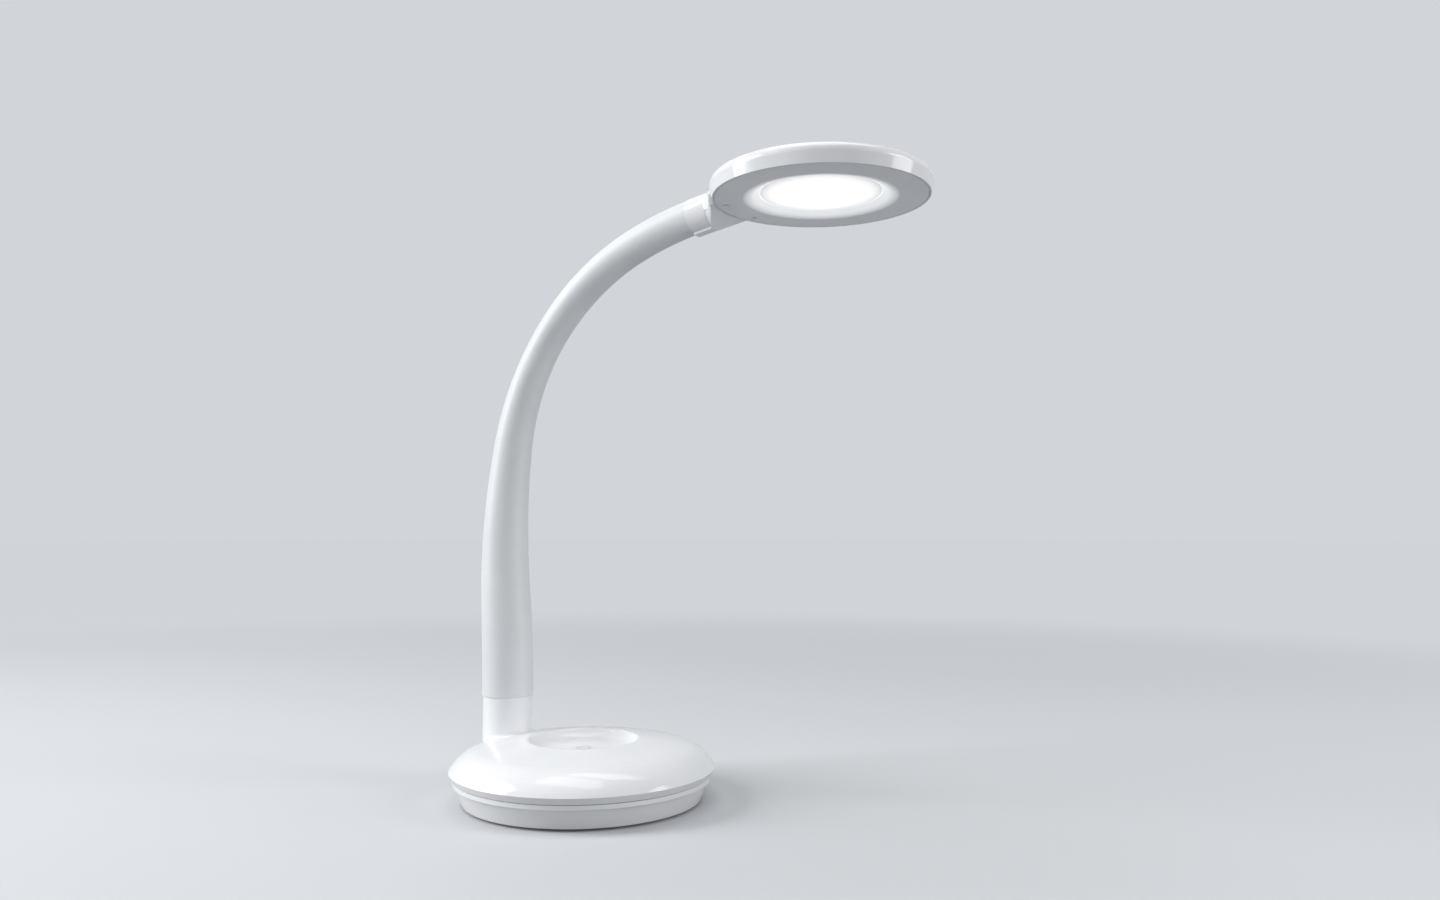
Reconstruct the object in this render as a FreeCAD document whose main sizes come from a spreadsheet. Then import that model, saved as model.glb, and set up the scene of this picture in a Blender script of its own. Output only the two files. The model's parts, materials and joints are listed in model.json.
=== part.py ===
import FreeCAD, Part
import math
import os
import re
import Sketcher
from FreeCAD import Placement, Rotation, Vector

# Gooseneck desk lamp: a weighted round base with a touch dish, a bendable arm in a tapering
# soft sleeve, and a flat round light head.
# The origin is the centre of the foot pad's underside. +Z is up, +X points from the stem
# towards the head. Lengths are millimetres and angles degrees.

doc = FreeCAD.newDocument("gooseneck_desk_lamp")
sheet = doc.addObject("Spreadsheet::Sheet", "Sizes")

# Signs of the four places in a square, in step with a ring of four that starts at 45 degrees
CORNERS = (("", ""), ("-", ""), ("-", "-"), ("", "-"))
LED_SCREW_ANGLES = (0, 120, 240)
SLEEVE_RINGS = 5
NECK_RINGS = 7
# How far a cutting shape runs past what it cuts
OVERRUN = 1.0

DRIVING = {
    # Base cover
    "rim_radius": 75.0,
    "rim_height": 18.5,
    "edge_round": 24.0,
    "edge_lean": 30.0,
    "dome_rise": 17.2,
    "cover_wall": 2.5,
    "band_tuck": 1.8,
    "band_drop": 3.6,
    "dish_rim_radius": 30.7,
    "dish_run": 8.7,
    "dish_floor_drop": 7.1,
    "dish_floor_wall": 2.3,
    "dish_rim_round": 2.0,
    # Base tray and foot pad
    "seam_gap": 0.4,
    "lip_tuck": 0.5,
    "lip_step": 0.4,
    "skirt_tuck": 1.5,
    "skirt_top_drop": 3.3,
    "skirt_taper": 3.7,
    "tray_floor": 2.5,
    "tray_wall": 2.3,
    "upstand_height": 2.2,
    "upstand_wall": 1.5,
    "slip_clearance": 0.3,
    "pad_setback": 6.5,
    "pad_thickness": 1.5,
    # Stem stub and the floor inside it that holds the arm
    "stub_margin": 2.0,
    "stub_step": 0.6,
    "stub_rise": 17.8,
    "spigot_wall": 1.95,
    "stub_round": 2.0,
    "spigot_length": 8.0,
    "spigot_clearance": 0.25,
    "anchor_floor_rise": 5.5,
    "anchor_floor_thickness": 6.0,
    # Ballast and the screws that close the base
    "ballast_clearance": 4.2,
    "ballast_thickness": 7.0,
    "ballast_chamfer": 1.0,
    "notch_margin": 14.5,
    "notch_width": 13.0,
    "boss_inset": 11.0,
    "boss_radius": 4.0,
    "base_screw_radius": 1.5,
    "base_screw_length": 24.0,
    "base_screw_head_radius": 3.0,
    "base_screw_head_height": 1.2,
    "screw_clearance": 0.15,
    "pilot_clearance": 1.0,
    # Control board
    "board_width": 42.0,
    "board_thickness": 1.6,
    "board_height": 12.6,
    "pillar_circle": 25.0,
    "pillar_radius": 2.4,
    "board_screw_radius": 1.0,
    "board_screw_head_radius": 1.9,
    "board_screw_head_height": 0.9,
    "board_screw_length": 7.6,
    "terminal_setback": 1.0,
    "terminal_length": 7.0,
    "terminal_width": 11.0,
    "terminal_height": 4.4,
    "choke_radius": 4.5,
    "choke_height": 6.0,
    "capacitor_radius": 3.2,
    "capacitor_height": 8.0,
    "driver_chip_width": 6.0,
    "driver_chip_height": 1.5,
    "touch_plate_radius": 17.0,
    "touch_plate_thickness": 0.4,
    "contact_width": 5.0,
    "contact_length": 8.0,
    "contact_thickness": 0.4,
    # Power inlet
    "inlet_length": 11.5,
    "inlet_width": 9.0,
    "inlet_height": 8.6,
    "inlet_setback": 0.8,
    "inlet_bore_radius": 3.0,
    "inlet_bore_depth": 9.5,
    "inlet_pin_radius": 1.05,
    "inlet_pin_tip_gap": 1.2,
    "window_clearance": 0.2,
    # Arm anchor
    "anchor_radius": 5.6,
    "anchor_flange_radius": 8.5,
    "anchor_flange_thickness": 2.0,
    "anchor_tail": 5.4,
    "core_foot_setback": 0.2,
    "nut_thickness": 4.5,
    "nut_corner_radius": 8.0,
    "thread_clearance": 0.1,
    # Arm: four tangent stretches of the centre line, from the stub up to the head
    "lean_length": 56.0,
    "lean_turn": -4.4,
    "rise_length": 94.0,
    "rise_turn": 14.2,
    "bend_length": 150.0,
    "bend_turn": 59.2,
    "nose_length": 41.3,
    "nose_turn": 11.0,
    "joint_count": 9,
    "sleeve_foot_radius": 15.1,
    "sleeve_neck_radius": 9.6,
    "sleeve_wall": 2.5,
    "taper_start": 22.0,
    "taper_length": 203.0,
    "core_radius": 4.0,
    "core_bore": 2.6,
    "core_grip_clearance": 0.05,
    "core_exit_clearance": 0.6,
    "lead_radius": 1.3,
    "joint_gap": 0.3,
    "sleeve_ball_ratio": 1.04,
    "core_ball_radius": 4.2,
    "lead_ball_radius": 1.45,
    # Leads inside the base
    "lead_bend_radius": 2.6,
    "supply_lead_radius": 1.0,
    "supply_lead_side": 3.2,
    "supply_lead_rise": 6.0,
    # Light head, measured from the middle of its underside
    "neck_run": 20.8,
    "neck_rise": 1.7,
    "head_side_radius": 57.5,
    "head_foot_tuck": 1.4,
    "head_side_height": 5.5,
    "head_corner_radius": 5.5,
    "head_crown_rise": 1.0,
    "head_wall": 2.0,
    "head_lip": 0.9,
    "bezel_clearance": 0.3,
    "bezel_thickness": 2.0,
    "bezel_lift": 0.1,
    "bezel_ledge": 1.4,
    "cone_thickness": 1.3,
    "recess_run": 8.5,
    "light_radius": 31.7,
    "recess_depth": 2.6,
    "light_lip": 0.8,
    "diffuser_seat": 2.5,
    "diffuser_thickness": 1.8,
    "diffuser_edge_round": 0.9,
    "diffuser_bulge": 0.6,
    "diffuser_clearance": 0.15,
    "bezel_ring": 1.6,
    "led_board_margin": 1.3,
    "led_board_thickness": 1.2,
    "spreader_thickness": 0.6,
    "spreader_setback": 3.0,
    "spreader_drop": 0.65,
    "chip_length": 3.5,
    "chip_width": 2.8,
    "chip_height": 0.7,
    "chip_ring_inner": 10.0,
    "chip_ring_setback": 6.5,
    "chip_count_inner": 8,
    "chip_count_outer": 16,
    "led_screw_inset": 6.0,
    "led_screw_radius": 1.2,
    "led_screw_head_radius": 2.3,
    "led_screw_head_height": 1.0,
    "led_screw_length": 2.8,
    "head_screw_inset": 4.9,
    "head_screw_spread": 16.5,
    "head_screw_radius": 1.25,
    "head_screw_head_radius": 2.4,
    "head_screw_head_height": 1.1,
    "head_screw_length": 7.0,
    "head_boss_radius": 3.0,
    # Neck between the arm and the head
    "collar_step": 0.3,
    "collar_length": 13.0,
    "neck_wall": 1.8,
    "bulkhead_thickness": 2.0,
    "flare_overlap": 5.4,
    "flare_half_width": 24.0,
    "flare_crown_drop": 0.3,
    "flare_foot_lift": 0.3,
    "neck_split_height": 1.2,
    "neck_split_gap": 0.2,
    "tongue_width": 5.6,
    "tongue_thickness": 1.0,
    "tongue_length": 11.6,
    "keel_half_width": 19.0,
    "keel_lift": 0.2,
    "head_spigot_length": 6.0,
    "clamp_length": 6.5,
    "clamp_clearance": 0.15,
    "clamp_screw_radius": 1.5,
    "head_lead_height": 7.0,
    "head_lead_bend_radius": 30.0,
}

DERIVED = {
    # Base cover: the dome is a wide crown arc that runs into a smaller edge arc,
    # which meets the band at a crease
    "crown_height": "rim_height + dome_rise",
    "band_foot_radius": "rim_radius - band_tuck",
    "band_foot_height": "rim_height - band_drop",
    "dish_floor_radius": "dish_rim_radius - dish_run",
    "dish_floor_height": "crown_height - dish_floor_drop",
    "edge_centre": "rim_radius - edge_round * cos(edge_lean)",
    "edge_height": "rim_height - edge_round * sin(edge_lean)",
    "edge_rise": "crown_height - edge_height",
    "crown_radius": "(edge_centre ^ 2 - edge_round ^ 2 + edge_rise ^ 2)"
                    " / (2 * (edge_rise - edge_round))",
    "crown_centre": "crown_height - crown_radius",
    "tangent_ratio": "crown_radius / (crown_radius - edge_round)",
    "tangent_radius": "edge_centre * tangent_ratio",
    "tangent_height": "crown_centre + (edge_height - crown_centre) * tangent_ratio",
    "inner_crown_radius": "crown_radius - cover_wall",
    "inner_edge_round": "edge_round - cover_wall",
    "inner_ratio": "inner_crown_radius / (crown_radius - edge_round)",
    "inner_tangent_radius": "edge_centre * inner_ratio",
    "inner_tangent_height": "crown_centre + (edge_height - crown_centre) * inner_ratio",
    "inner_rim_radius": "rim_radius - cover_wall * cos(edge_lean)",
    "inner_rim_height": "rim_height - cover_wall * sin(edge_lean)",
    "band_inner_radius": "band_foot_radius - cover_wall",
    "dish_rim_height": "crown_centre + sqrt(crown_radius ^ 2 - dish_rim_radius ^ 2)",
    "dish_rise": "dish_rim_height - dish_floor_height",
    "dish_sweep": "((dish_rim_radius - dish_floor_radius) ^ 2 + dish_rise ^ 2) / (2 * dish_rise)",
    "dish_root_radius": "dish_rim_radius + cover_wall",
    "dish_root_height": "crown_centre + sqrt(inner_crown_radius ^ 2 - dish_root_radius ^ 2)",
    "dish_under_radius": "dish_floor_radius + dish_floor_wall",
    "dish_under_height": "dish_floor_height - dish_floor_wall",
    # Base tray
    "floor_top": "pad_thickness + tray_floor",
    "lip_radius": "band_foot_radius - lip_tuck",
    "skirt_top_radius": "lip_radius - skirt_tuck",
    "skirt_top_height": "band_foot_height - skirt_top_drop",
    "skirt_foot_radius": "skirt_top_radius - skirt_taper",
    "pad_radius": "skirt_foot_radius - pad_setback",
    "lip_foot_height": "skirt_top_height + lip_step",
    "lip_top_height": "band_foot_height - seam_gap",
    "upstand_radius": "band_inner_radius - slip_clearance",
    "upstand_top_height": "lip_top_height + upstand_height",
    "upstand_inner_radius": "upstand_radius - upstand_wall",
    "skirt_inner_foot_radius": "skirt_foot_radius - tray_wall",
    # Stub, anchor and ballast
    "stub_radius": "sleeve_foot_radius - stub_step",
    "stem_offset": "rim_radius - stub_radius - stub_margin",
    "stub_top": "crown_height + stub_rise",
    "anchor_floor_height": "rim_height + anchor_floor_rise",
    "anchor_floor_top": "anchor_floor_height + anchor_floor_thickness",
    "spigot_top": "stub_top + spigot_length",
    "spigot_radius": "sleeve_foot_radius - sleeve_wall - spigot_clearance",
    "stub_bore": "spigot_radius - spigot_wall",
    "anchor_hole_radius": "anchor_radius + screw_clearance",
    "anchor_bottom": "anchor_floor_height - anchor_tail",
    "core_foot_height": "anchor_bottom + core_foot_setback",
    "ballast_radius": "skirt_inner_foot_radius - ballast_clearance",
    "ballast_top": "floor_top + ballast_thickness",
    "notch_reach": "stem_offset - notch_margin",
    "boss_circle": "ballast_radius - boss_inset",
    "boss_place": "boss_circle / sqrt(2)",
    "boss_top": "crown_centre + sqrt(inner_crown_radius ^ 2 - boss_circle ^ 2) + cover_wall / 2",
    "base_screw_hole": "base_screw_radius + screw_clearance",
    "base_screw_recess": "base_screw_head_radius + screw_clearance",
    "base_screw_recess_depth": "base_screw_head_height + screw_clearance",
    "base_screw_top": "pad_thickness + screw_clearance + base_screw_length",
    "pillar_place": "pillar_circle / sqrt(2)",
    "board_top": "board_height + board_thickness",
    "board_screw_hole": "board_screw_radius + screw_clearance",
    "board_part_place": "board_width / 4",
    "terminal_face": "terminal_setback - board_width / 2",
    "pillar_top": "dish_under_height + dish_floor_wall / 2",
    "contact_height": "dish_under_height - touch_plate_thickness - board_top",
    "contact_upper": "contact_height - contact_thickness",
    # Inlet: its mouth stands just inside the skirt's outer face
    "inlet_axis_height": "floor_top + inlet_height / 2",
    "skirt_slope": "(skirt_top_radius - skirt_foot_radius) / (skirt_top_height - pad_thickness)",
    "inlet_mouth": "skirt_foot_radius + skirt_slope * (inlet_axis_height - pad_thickness)"
                   " - inlet_setback",
    "inlet_pin_length": "inlet_bore_depth - inlet_pin_tip_gap",
    "lead_height": "anchor_bottom - lead_bend_radius",
    "core_seat": "core_radius + core_grip_clearance",
    "anchor_flange_foot": "anchor_floor_top - anchor_bottom",
    "anchor_height": "anchor_flange_foot + anchor_flange_thickness",
    # Arm
    "arm_length": "lean_length + rise_length + bend_length + nose_length",
    "joint_pitch": "arm_length / joint_count",
    "lean_radius": "lean_length / (lean_turn * pi / 180)",
    "rise_radius": "rise_length / (rise_turn * pi / 180)",
    "bend_radius": "bend_length / (bend_turn * pi / 180)",
    "nose_radius": "nose_length / (nose_turn * pi / 180)",
    "bend_heading": "lean_turn + rise_turn",
    "nose_heading": "bend_heading + bend_turn",
    "tip_heading": "nose_heading + nose_turn",
    "lean_reach": "lean_radius * (1 - cos(lean_turn))",
    "rise_reach": "rise_radius * (cos(lean_turn) - cos(bend_heading))",
    "bend_reach": "bend_radius * (cos(bend_heading) - cos(nose_heading))",
    "nose_reach": "nose_radius * (cos(nose_heading) - cos(tip_heading))",
    "lean_climb": "lean_radius * sin(lean_turn)",
    "rise_climb": "rise_radius * (sin(bend_heading) - sin(lean_turn))",
    "bend_climb": "bend_radius * (sin(nose_heading) - sin(bend_heading))",
    "nose_climb": "nose_radius * (sin(tip_heading) - sin(nose_heading))",
    "tip_place": "lean_reach + rise_reach + bend_reach + nose_reach - stem_offset",
    "tip_height": "stub_top + lean_climb + rise_climb + bend_climb + nose_climb",
    "neck_reach": "head_side_radius + neck_run",
    "head_place": "tip_place + neck_reach",
    "head_height": "tip_height - neck_rise",
    # Light head: its top is a wide crown arc that runs into the edge's rounding
    "head_foot_radius": "head_side_radius - head_foot_tuck",
    "head_edge_height": "head_side_height + head_corner_radius",
    "head_crown_height": "head_edge_height + head_crown_rise",
    "head_edge_centre": "head_side_radius - head_corner_radius",
    "head_crown_sweep": "(head_edge_centre ^ 2 - head_corner_radius ^ 2"
                        " + (head_crown_rise + head_corner_radius) ^ 2) / (2 * head_crown_rise)",
    "head_crown_centre": "head_crown_height - head_crown_sweep",
    "head_tangent_ratio": "head_crown_sweep / (head_crown_sweep - head_corner_radius)",
    "head_tangent_radius": "head_edge_centre * head_tangent_ratio",
    "head_tangent_height": "head_crown_centre"
                           " + (head_side_height - head_crown_centre) * head_tangent_ratio",
    "bezel_radius": "head_foot_radius - head_lip - bezel_clearance",
    "bezel_lip_radius": "head_foot_radius - head_lip",
    "bezel_seat_height": "bezel_thickness + bezel_lift",
    "head_inner_radius": "bezel_radius - bezel_ledge",
    "head_inner_edge_height": "head_edge_height - head_wall",
    "head_inner_crown_height": "head_crown_height - head_wall",
    "head_inner_side_height": "head_inner_edge_height - head_wall",
    "head_inner_edge_radius": "head_inner_radius - head_wall",
    "recess_radius": "light_radius + recess_run",
    "recess_sweep": "(recess_run ^ 2 + recess_depth ^ 2) / (2 * recess_depth)",
    "bezel_shoulder_radius": "recess_radius + cone_thickness",
    "bezel_shoulder_height": "recess_depth + cone_thickness",
    "light_lip_height": "recess_depth + light_lip",
    "diffuser_radius": "light_radius + diffuser_seat",
    "diffuser_ring_radius": "diffuser_radius + diffuser_clearance",
    "diffuser_step_radius": "light_radius - diffuser_clearance",
    "diffuser_face_radius": "diffuser_step_radius - diffuser_edge_round",
    "diffuser_face_height": "light_lip_height - diffuser_edge_round",
    "diffuser_crown_height": "diffuser_face_height - diffuser_bulge",
    "diffuser_sweep": "(diffuser_face_radius ^ 2 + diffuser_bulge ^ 2) / (2 * diffuser_bulge)",
    "diffuser_top_height": "light_lip_height + diffuser_thickness",
    "bezel_ring_radius": "diffuser_ring_radius + bezel_ring",
    "bezel_ring_height": "diffuser_top_height + bezel_lift",
    "spreader_height": "head_inner_crown_height - spreader_thickness - spreader_drop",
    "led_board_height": "spreader_height - led_board_thickness",
    "led_board_radius": "light_radius + led_board_margin",
    "spreader_radius": "led_board_radius - spreader_setback",
    "led_screw_circle": "led_board_radius - led_screw_inset",
    "chip_ring_outer": "led_screw_circle - chip_ring_setback",
    "head_screw_circle": "bezel_radius - head_screw_inset",
    "led_screw_hole": "led_screw_radius + screw_clearance",
    "head_screw_hole": "head_screw_radius + screw_clearance",
    "head_screw_recess": "head_screw_head_radius + screw_clearance",
    "head_spigot_radius": "sleeve_neck_radius - sleeve_wall - spigot_clearance",
    "core_exit_radius": "core_radius + core_exit_clearance",
    "collar_radius": "sleeve_neck_radius + collar_step",
    "clamp_radius": "collar_radius - neck_wall - clamp_clearance",
    "flare_reach": "neck_run + flare_overlap",
    "flare_crown": "head_edge_height - flare_crown_drop",
    "split_radius": "head_foot_radius + (head_side_radius - head_foot_radius)"
                    " * neck_split_height / head_side_height",
}


def fill_sheet():
    """Writes every size into the sheet, one row each, under its own alias."""
    row = 0
    for name, number in DRIVING.items():
        row += 1
        sheet.set(f"A{row}", name)
        sheet.set(f"B{row}", str(number))
        sheet.setAlias(f"B{row}", name)
    for name, formula in DERIVED.items():
        row += 1
        sheet.set(f"A{row}", name)
        sheet.set(f"B{row}", "=" + formula)
        sheet.setAlias(f"B{row}", name)
    doc.recompute()


def size(name):
    return float(sheet.get(name))


def sheet_formula(text):
    """Every alias holds an underscore, so each such word is a cell of the sheet."""
    return re.sub(r"[a-z]+(?:_[a-z]+)+", lambda word: "Sizes." + word.group(), text)


def bind(item, **formulas):
    for name, text in formulas.items():
        item.setExpression(name, sheet_formula(text))


def place(item, x=None, y=None, z=None):
    for axis, text in (("x", x), ("y", y), ("z", z)):
        if text is not None:
            item.setExpression("Placement.Base." + axis, sheet_formula(text))


def named(item, label):
    item.Label = label
    return item


# Sketches and bodies

def new_body(name, x=None, y=None, z=None):
    body = doc.addObject("PartDesign::Body", name)
    place(body, x, y, z)
    return body


def origin_part(body, role):
    for feature in body.Origin.OriginFeatures:
        if feature.Role == role:
            return feature
    raise ValueError(role)


def new_sketch(body, name, role="XY_Plane", lift=None):
    sketch = body.newObject("Sketcher::SketchObject", name)
    sketch.AttachmentSupport = [(origin_part(body, role), "")]
    sketch.MapMode = "FlatFace"
    if lift is not None:
        sketch.setExpression("AttachmentOffset.Base.z", sheet_formula(lift))
    return sketch


def pin_point(sketch, edge, end, x, y):
    """Holds one sketch point at two cell values; None holds it on an axis."""
    for kind, axis, name in (("DistanceX", -2, x), ("DistanceY", -1, y)):
        if name is None:
            sketch.addConstraint(Sketcher.Constraint("PointOnObject", edge, end, axis))
        else:
            held = Sketcher.Constraint(kind, -1, 1, edge, end, size(name))
            index = sketch.addConstraint(held)
            sketch.setExpression(f"Constraints[{index}]", "Sizes." + name)


def arc_between(start, finish, radius, left):
    """Arc of under a half circle; left says on which side of the walk its centre lies."""
    middle = (start + finish) / 2
    chord = finish - start
    reach = math.sqrt(radius ** 2 - (chord.Length / 2) ** 2)
    side = Vector(-chord.y, chord.x, 0).normalize()
    centre = middle + side * (reach if left else -reach)
    first, last = (start, finish) if left else (finish, start)
    angles = [math.atan2(point.y - centre.y, point.x - centre.x) for point in (first, last)]
    return Part.ArcOfCircle(Part.Circle(centre, Vector(0, 0, 1), radius), *angles)


def outline(sketch, corners, arcs=None):
    """Closed outline through corners of cell names; arcs maps a corner's index to the
    radius cell and the centre's side of the edge that leaves it."""
    arcs = arcs or {}
    points = [Vector(size(x) if x else 0, size(y) if y else 0, 0) for x, y in corners]
    count = len(points)
    first_end = {}
    for index in range(count):
        start, finish = points[index], points[(index + 1) % count]
        if index in arcs:
            radius_name, side = arcs[index]
            left = side == "left"
            edge = sketch.addGeometry(arc_between(start, finish, size(radius_name), left), False)
            first_end[index] = 1 if left else 2
            held = sketch.addConstraint(Sketcher.Constraint("Radius", edge, size(radius_name)))
            sketch.setExpression(f"Constraints[{held}]", "Sizes." + radius_name)
        else:
            sketch.addGeometry(Part.LineSegment(start, finish), False)
            first_end[index] = 1
    for index in range(count):
        after = (index + 1) % count
        meet = Sketcher.Constraint("Coincident", index, 3 - first_end[index], after, first_end[after])
        sketch.addConstraint(meet)
        pin_point(sketch, index, first_end[index], *corners[index])


def round_sketch(body, name, radius, x=None, y=None, lift=None):
    sketch = new_sketch(body, name, lift=lift)
    centre = Vector(size(x) if x else 0, size(y) if y else 0, 0)
    sketch.addGeometry(Part.Circle(centre, Vector(0, 0, 1), size(radius)), False)
    held = sketch.addConstraint(Sketcher.Constraint("Radius", 0, size(radius)))
    sketch.setExpression(f"Constraints[{held}]", "Sizes." + radius)
    pin_point(sketch, 0, 3, x, y)
    return sketch


def revolve(body, corners, arcs=None):
    sketch = new_sketch(body, body.Name + "_profile", "XZ_Plane")
    outline(sketch, corners, arcs)
    turned = body.newObject("PartDesign::Revolution", body.Name + "_turned")
    turned.Profile = sketch
    turned.ReferenceAxis = (sketch, ["V_Axis"])
    turned.Angle = 360.0
    doc.recompute()
    return turned


def extrude(body, kind, sketch, length, upward):
    """A pad grows along the sketch's normal and a pocket cuts against it by default."""
    feature = body.newObject("PartDesign::" + kind, sketch.Name + "_" + kind.lower())
    feature.Profile = sketch
    bind(feature, Length=length)
    feature.Reversed = upward != (kind == "Pad")
    doc.recompute()
    return feature


def polar(body, feature, count):
    pattern = body.newObject("PartDesign::PolarPattern", feature.Name + "_ring")
    pattern.Originals = [feature]
    pattern.Axis = (origin_part(body, "Z_Axis"), [""])
    pattern.Angle = 360.0
    pattern.Occurrences = count
    body.Tip = pattern
    doc.recompute()
    return pattern


def fillet(body, feature, radius, wanted):
    """Rounds the edges of the feature that the test function picks."""
    names = [f"Edge{number}" for number, edge in enumerate(feature.Shape.Edges, 1) if wanted(edge)]
    if not names:
        raise ValueError("no edge to round on " + feature.Name)
    rounded = body.newObject("PartDesign::Fillet", f"{feature.Name}_round")
    rounded.Base = (feature, names)
    bind(rounded, Radius=radius)
    doc.recompute()
    return rounded


# Plain primitives

def cylinder(name, radius, height, x=None, y=None, z=None):
    item = doc.addObject("Part::Cylinder", name)
    bind(item, Radius=radius, Height=height)
    place(item, x, y, z)
    return item


def block(name, length, width, height, x=None, y=None, z=None):
    item = doc.addObject("Part::Box", name)
    bind(item, Length=length, Width=width, Height=height)
    place(item, x, y, z)
    return item


def cut(name, body, tools):
    joined = tools[0]
    if len(tools) > 1:
        joined = doc.addObject("Part::MultiFuse", name + "_tools")
        joined.Shapes = tools
    item = doc.addObject("Part::Cut", name)
    item.Base = body
    item.Tool = joined
    return item


def solid(label, shape):
    item = doc.addObject("Part::Feature", label)
    item.Shape = shape
    item.Placement = shape.Placement
    return named(item, label)


def ring_places(circle, count, first_angle):
    step = 360.0 / count
    angles = [math.radians(first_angle + step * index) for index in range(count)]
    return [Vector(circle * math.cos(angle), circle * math.sin(angle), 0) for angle in angles]


def screw(head_radius, head_height, shank_radius, length, countersunk=False):
    """A screw that points up, its head's outer face at z = 0."""
    if countersunk:
        head = Part.makeCone(head_radius, shank_radius, head_height)
    else:
        head = Part.makeCylinder(head_radius, head_height)
    return head.fuse(Part.makeCylinder(shank_radius, length)).removeSplitter()


def group(shapes):
    return Part.Compound(shapes)


def moved(shape, offset):
    copy = shape.copy()
    copy.translate(offset)
    return copy


# Base

def dome_height(radius):
    """Height of the dome's outer face at a distance from the base's middle."""
    if radius < size("tangent_radius"):
        return size("crown_centre") + math.sqrt(size("crown_radius") ** 2 - radius ** 2)
    from_edge = min(radius - size("edge_centre"), size("edge_round"))
    return size("edge_height") + math.sqrt(size("edge_round") ** 2 - from_edge ** 2)


def make_base_cover():
    body = new_body("base_cover")
    revolve(
        body,
        [
            (None, "dish_floor_height"),
            ("dish_floor_radius", "dish_floor_height"),
            ("dish_rim_radius", "dish_rim_height"),
            ("tangent_radius", "tangent_height"),
            ("rim_radius", "rim_height"),
            ("band_foot_radius", "band_foot_height"),
            ("band_inner_radius", "band_foot_height"),
            ("inner_rim_radius", "inner_rim_height"),
            ("inner_tangent_radius", "inner_tangent_height"),
            ("dish_root_radius", "dish_root_height"),
            ("dish_under_radius", "dish_under_height"),
            (None, "dish_under_height"),
        ],
        {
            1: ("dish_sweep", "left"),
            2: ("crown_radius", "right"),
            3: ("edge_round", "right"),
            7: ("inner_edge_round", "left"),
            8: ("inner_crown_radius", "left"),
        },
    )
    stub = round_sketch(body, "stub_outline", "stub_radius", lift="rim_height")
    shift_sketch(stub, "-stem_offset")
    stub_pad = extrude(body, "Pad", stub, "stub_top - rim_height", upward=True)

    def stub_foot(edge):
        point = edge.valueAt((edge.FirstParameter + edge.LastParameter) / 2)
        from_stem = math.hypot(point.x + size("stem_offset"), point.y)
        on_stub = abs(from_stem - size("stub_radius")) < 0.01
        return on_stub and abs(point.z - dome_height(math.hypot(point.x, point.y))) < 0.01

    rounded = fillet(body, stub_pad, "stub_round", stub_foot)

    def dish_edge(edge):
        box = edge.BoundBox
        return abs(box.Center.z - size("dish_rim_height")) < 0.01 and box.ZLength < 0.01

    fillet(body, rounded, "dish_rim_round", dish_edge)
    spigot = round_sketch(body, "spigot_outline", "spigot_radius", lift="stub_top")
    shift_sketch(spigot, "-stem_offset")
    extrude(body, "Pad", spigot, "spigot_length", upward=True)
    bore = round_sketch(body, "stub_bore_outline", "stub_bore", lift="spigot_top")
    shift_sketch(bore, "-stem_offset")
    extrude(body, "Pocket", bore, "spigot_top - anchor_floor_top", upward=False)
    nut_room = round_sketch(body, "nut_room_outline", "stub_bore", lift="anchor_floor_height")
    shift_sketch(nut_room, "-stem_offset")
    extrude(body, "Pocket", nut_room, "anchor_floor_height - rim_height", upward=False)
    hole = round_sketch(body, "anchor_hole_outline", "anchor_hole_radius", lift="anchor_floor_top")
    shift_sketch(hole, "-stem_offset")
    extrude(body, "Pocket", hole, "anchor_floor_thickness", upward=False)
    boss = round_sketch(body, "boss_outline", "boss_radius", "boss_place", "boss_place", "ballast_top")
    polar(body, extrude(body, "Pad", boss, "boss_top - ballast_top", upward=True), len(CORNERS))
    pilot = round_sketch(
        body, "pilot_outline", "base_screw_hole", "boss_place", "boss_place", "ballast_top")
    pilot_depth = "base_screw_top + pilot_clearance - ballast_top"
    polar(body, extrude(body, "Pocket", pilot, pilot_depth, upward=True), len(CORNERS))
    pillar = round_sketch(
        body, "pillar_outline", "pillar_radius", "pillar_place", "pillar_place", "board_top")
    polar(body, extrude(body, "Pad", pillar, "pillar_top - board_top", upward=True), len(CORNERS))
    tap = round_sketch(
        body, "tap_outline", "board_screw_hole", "pillar_place", "pillar_place", "board_top")
    tap_depth = "board_screw_length - board_thickness + pilot_clearance"
    polar(body, extrude(body, "Pocket", tap, tap_depth, upward=True), len(CORNERS))
    return body


def shift_sketch(sketch, x):
    sketch.setExpression("AttachmentOffset.Base.x", sheet_formula(x))


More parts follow.
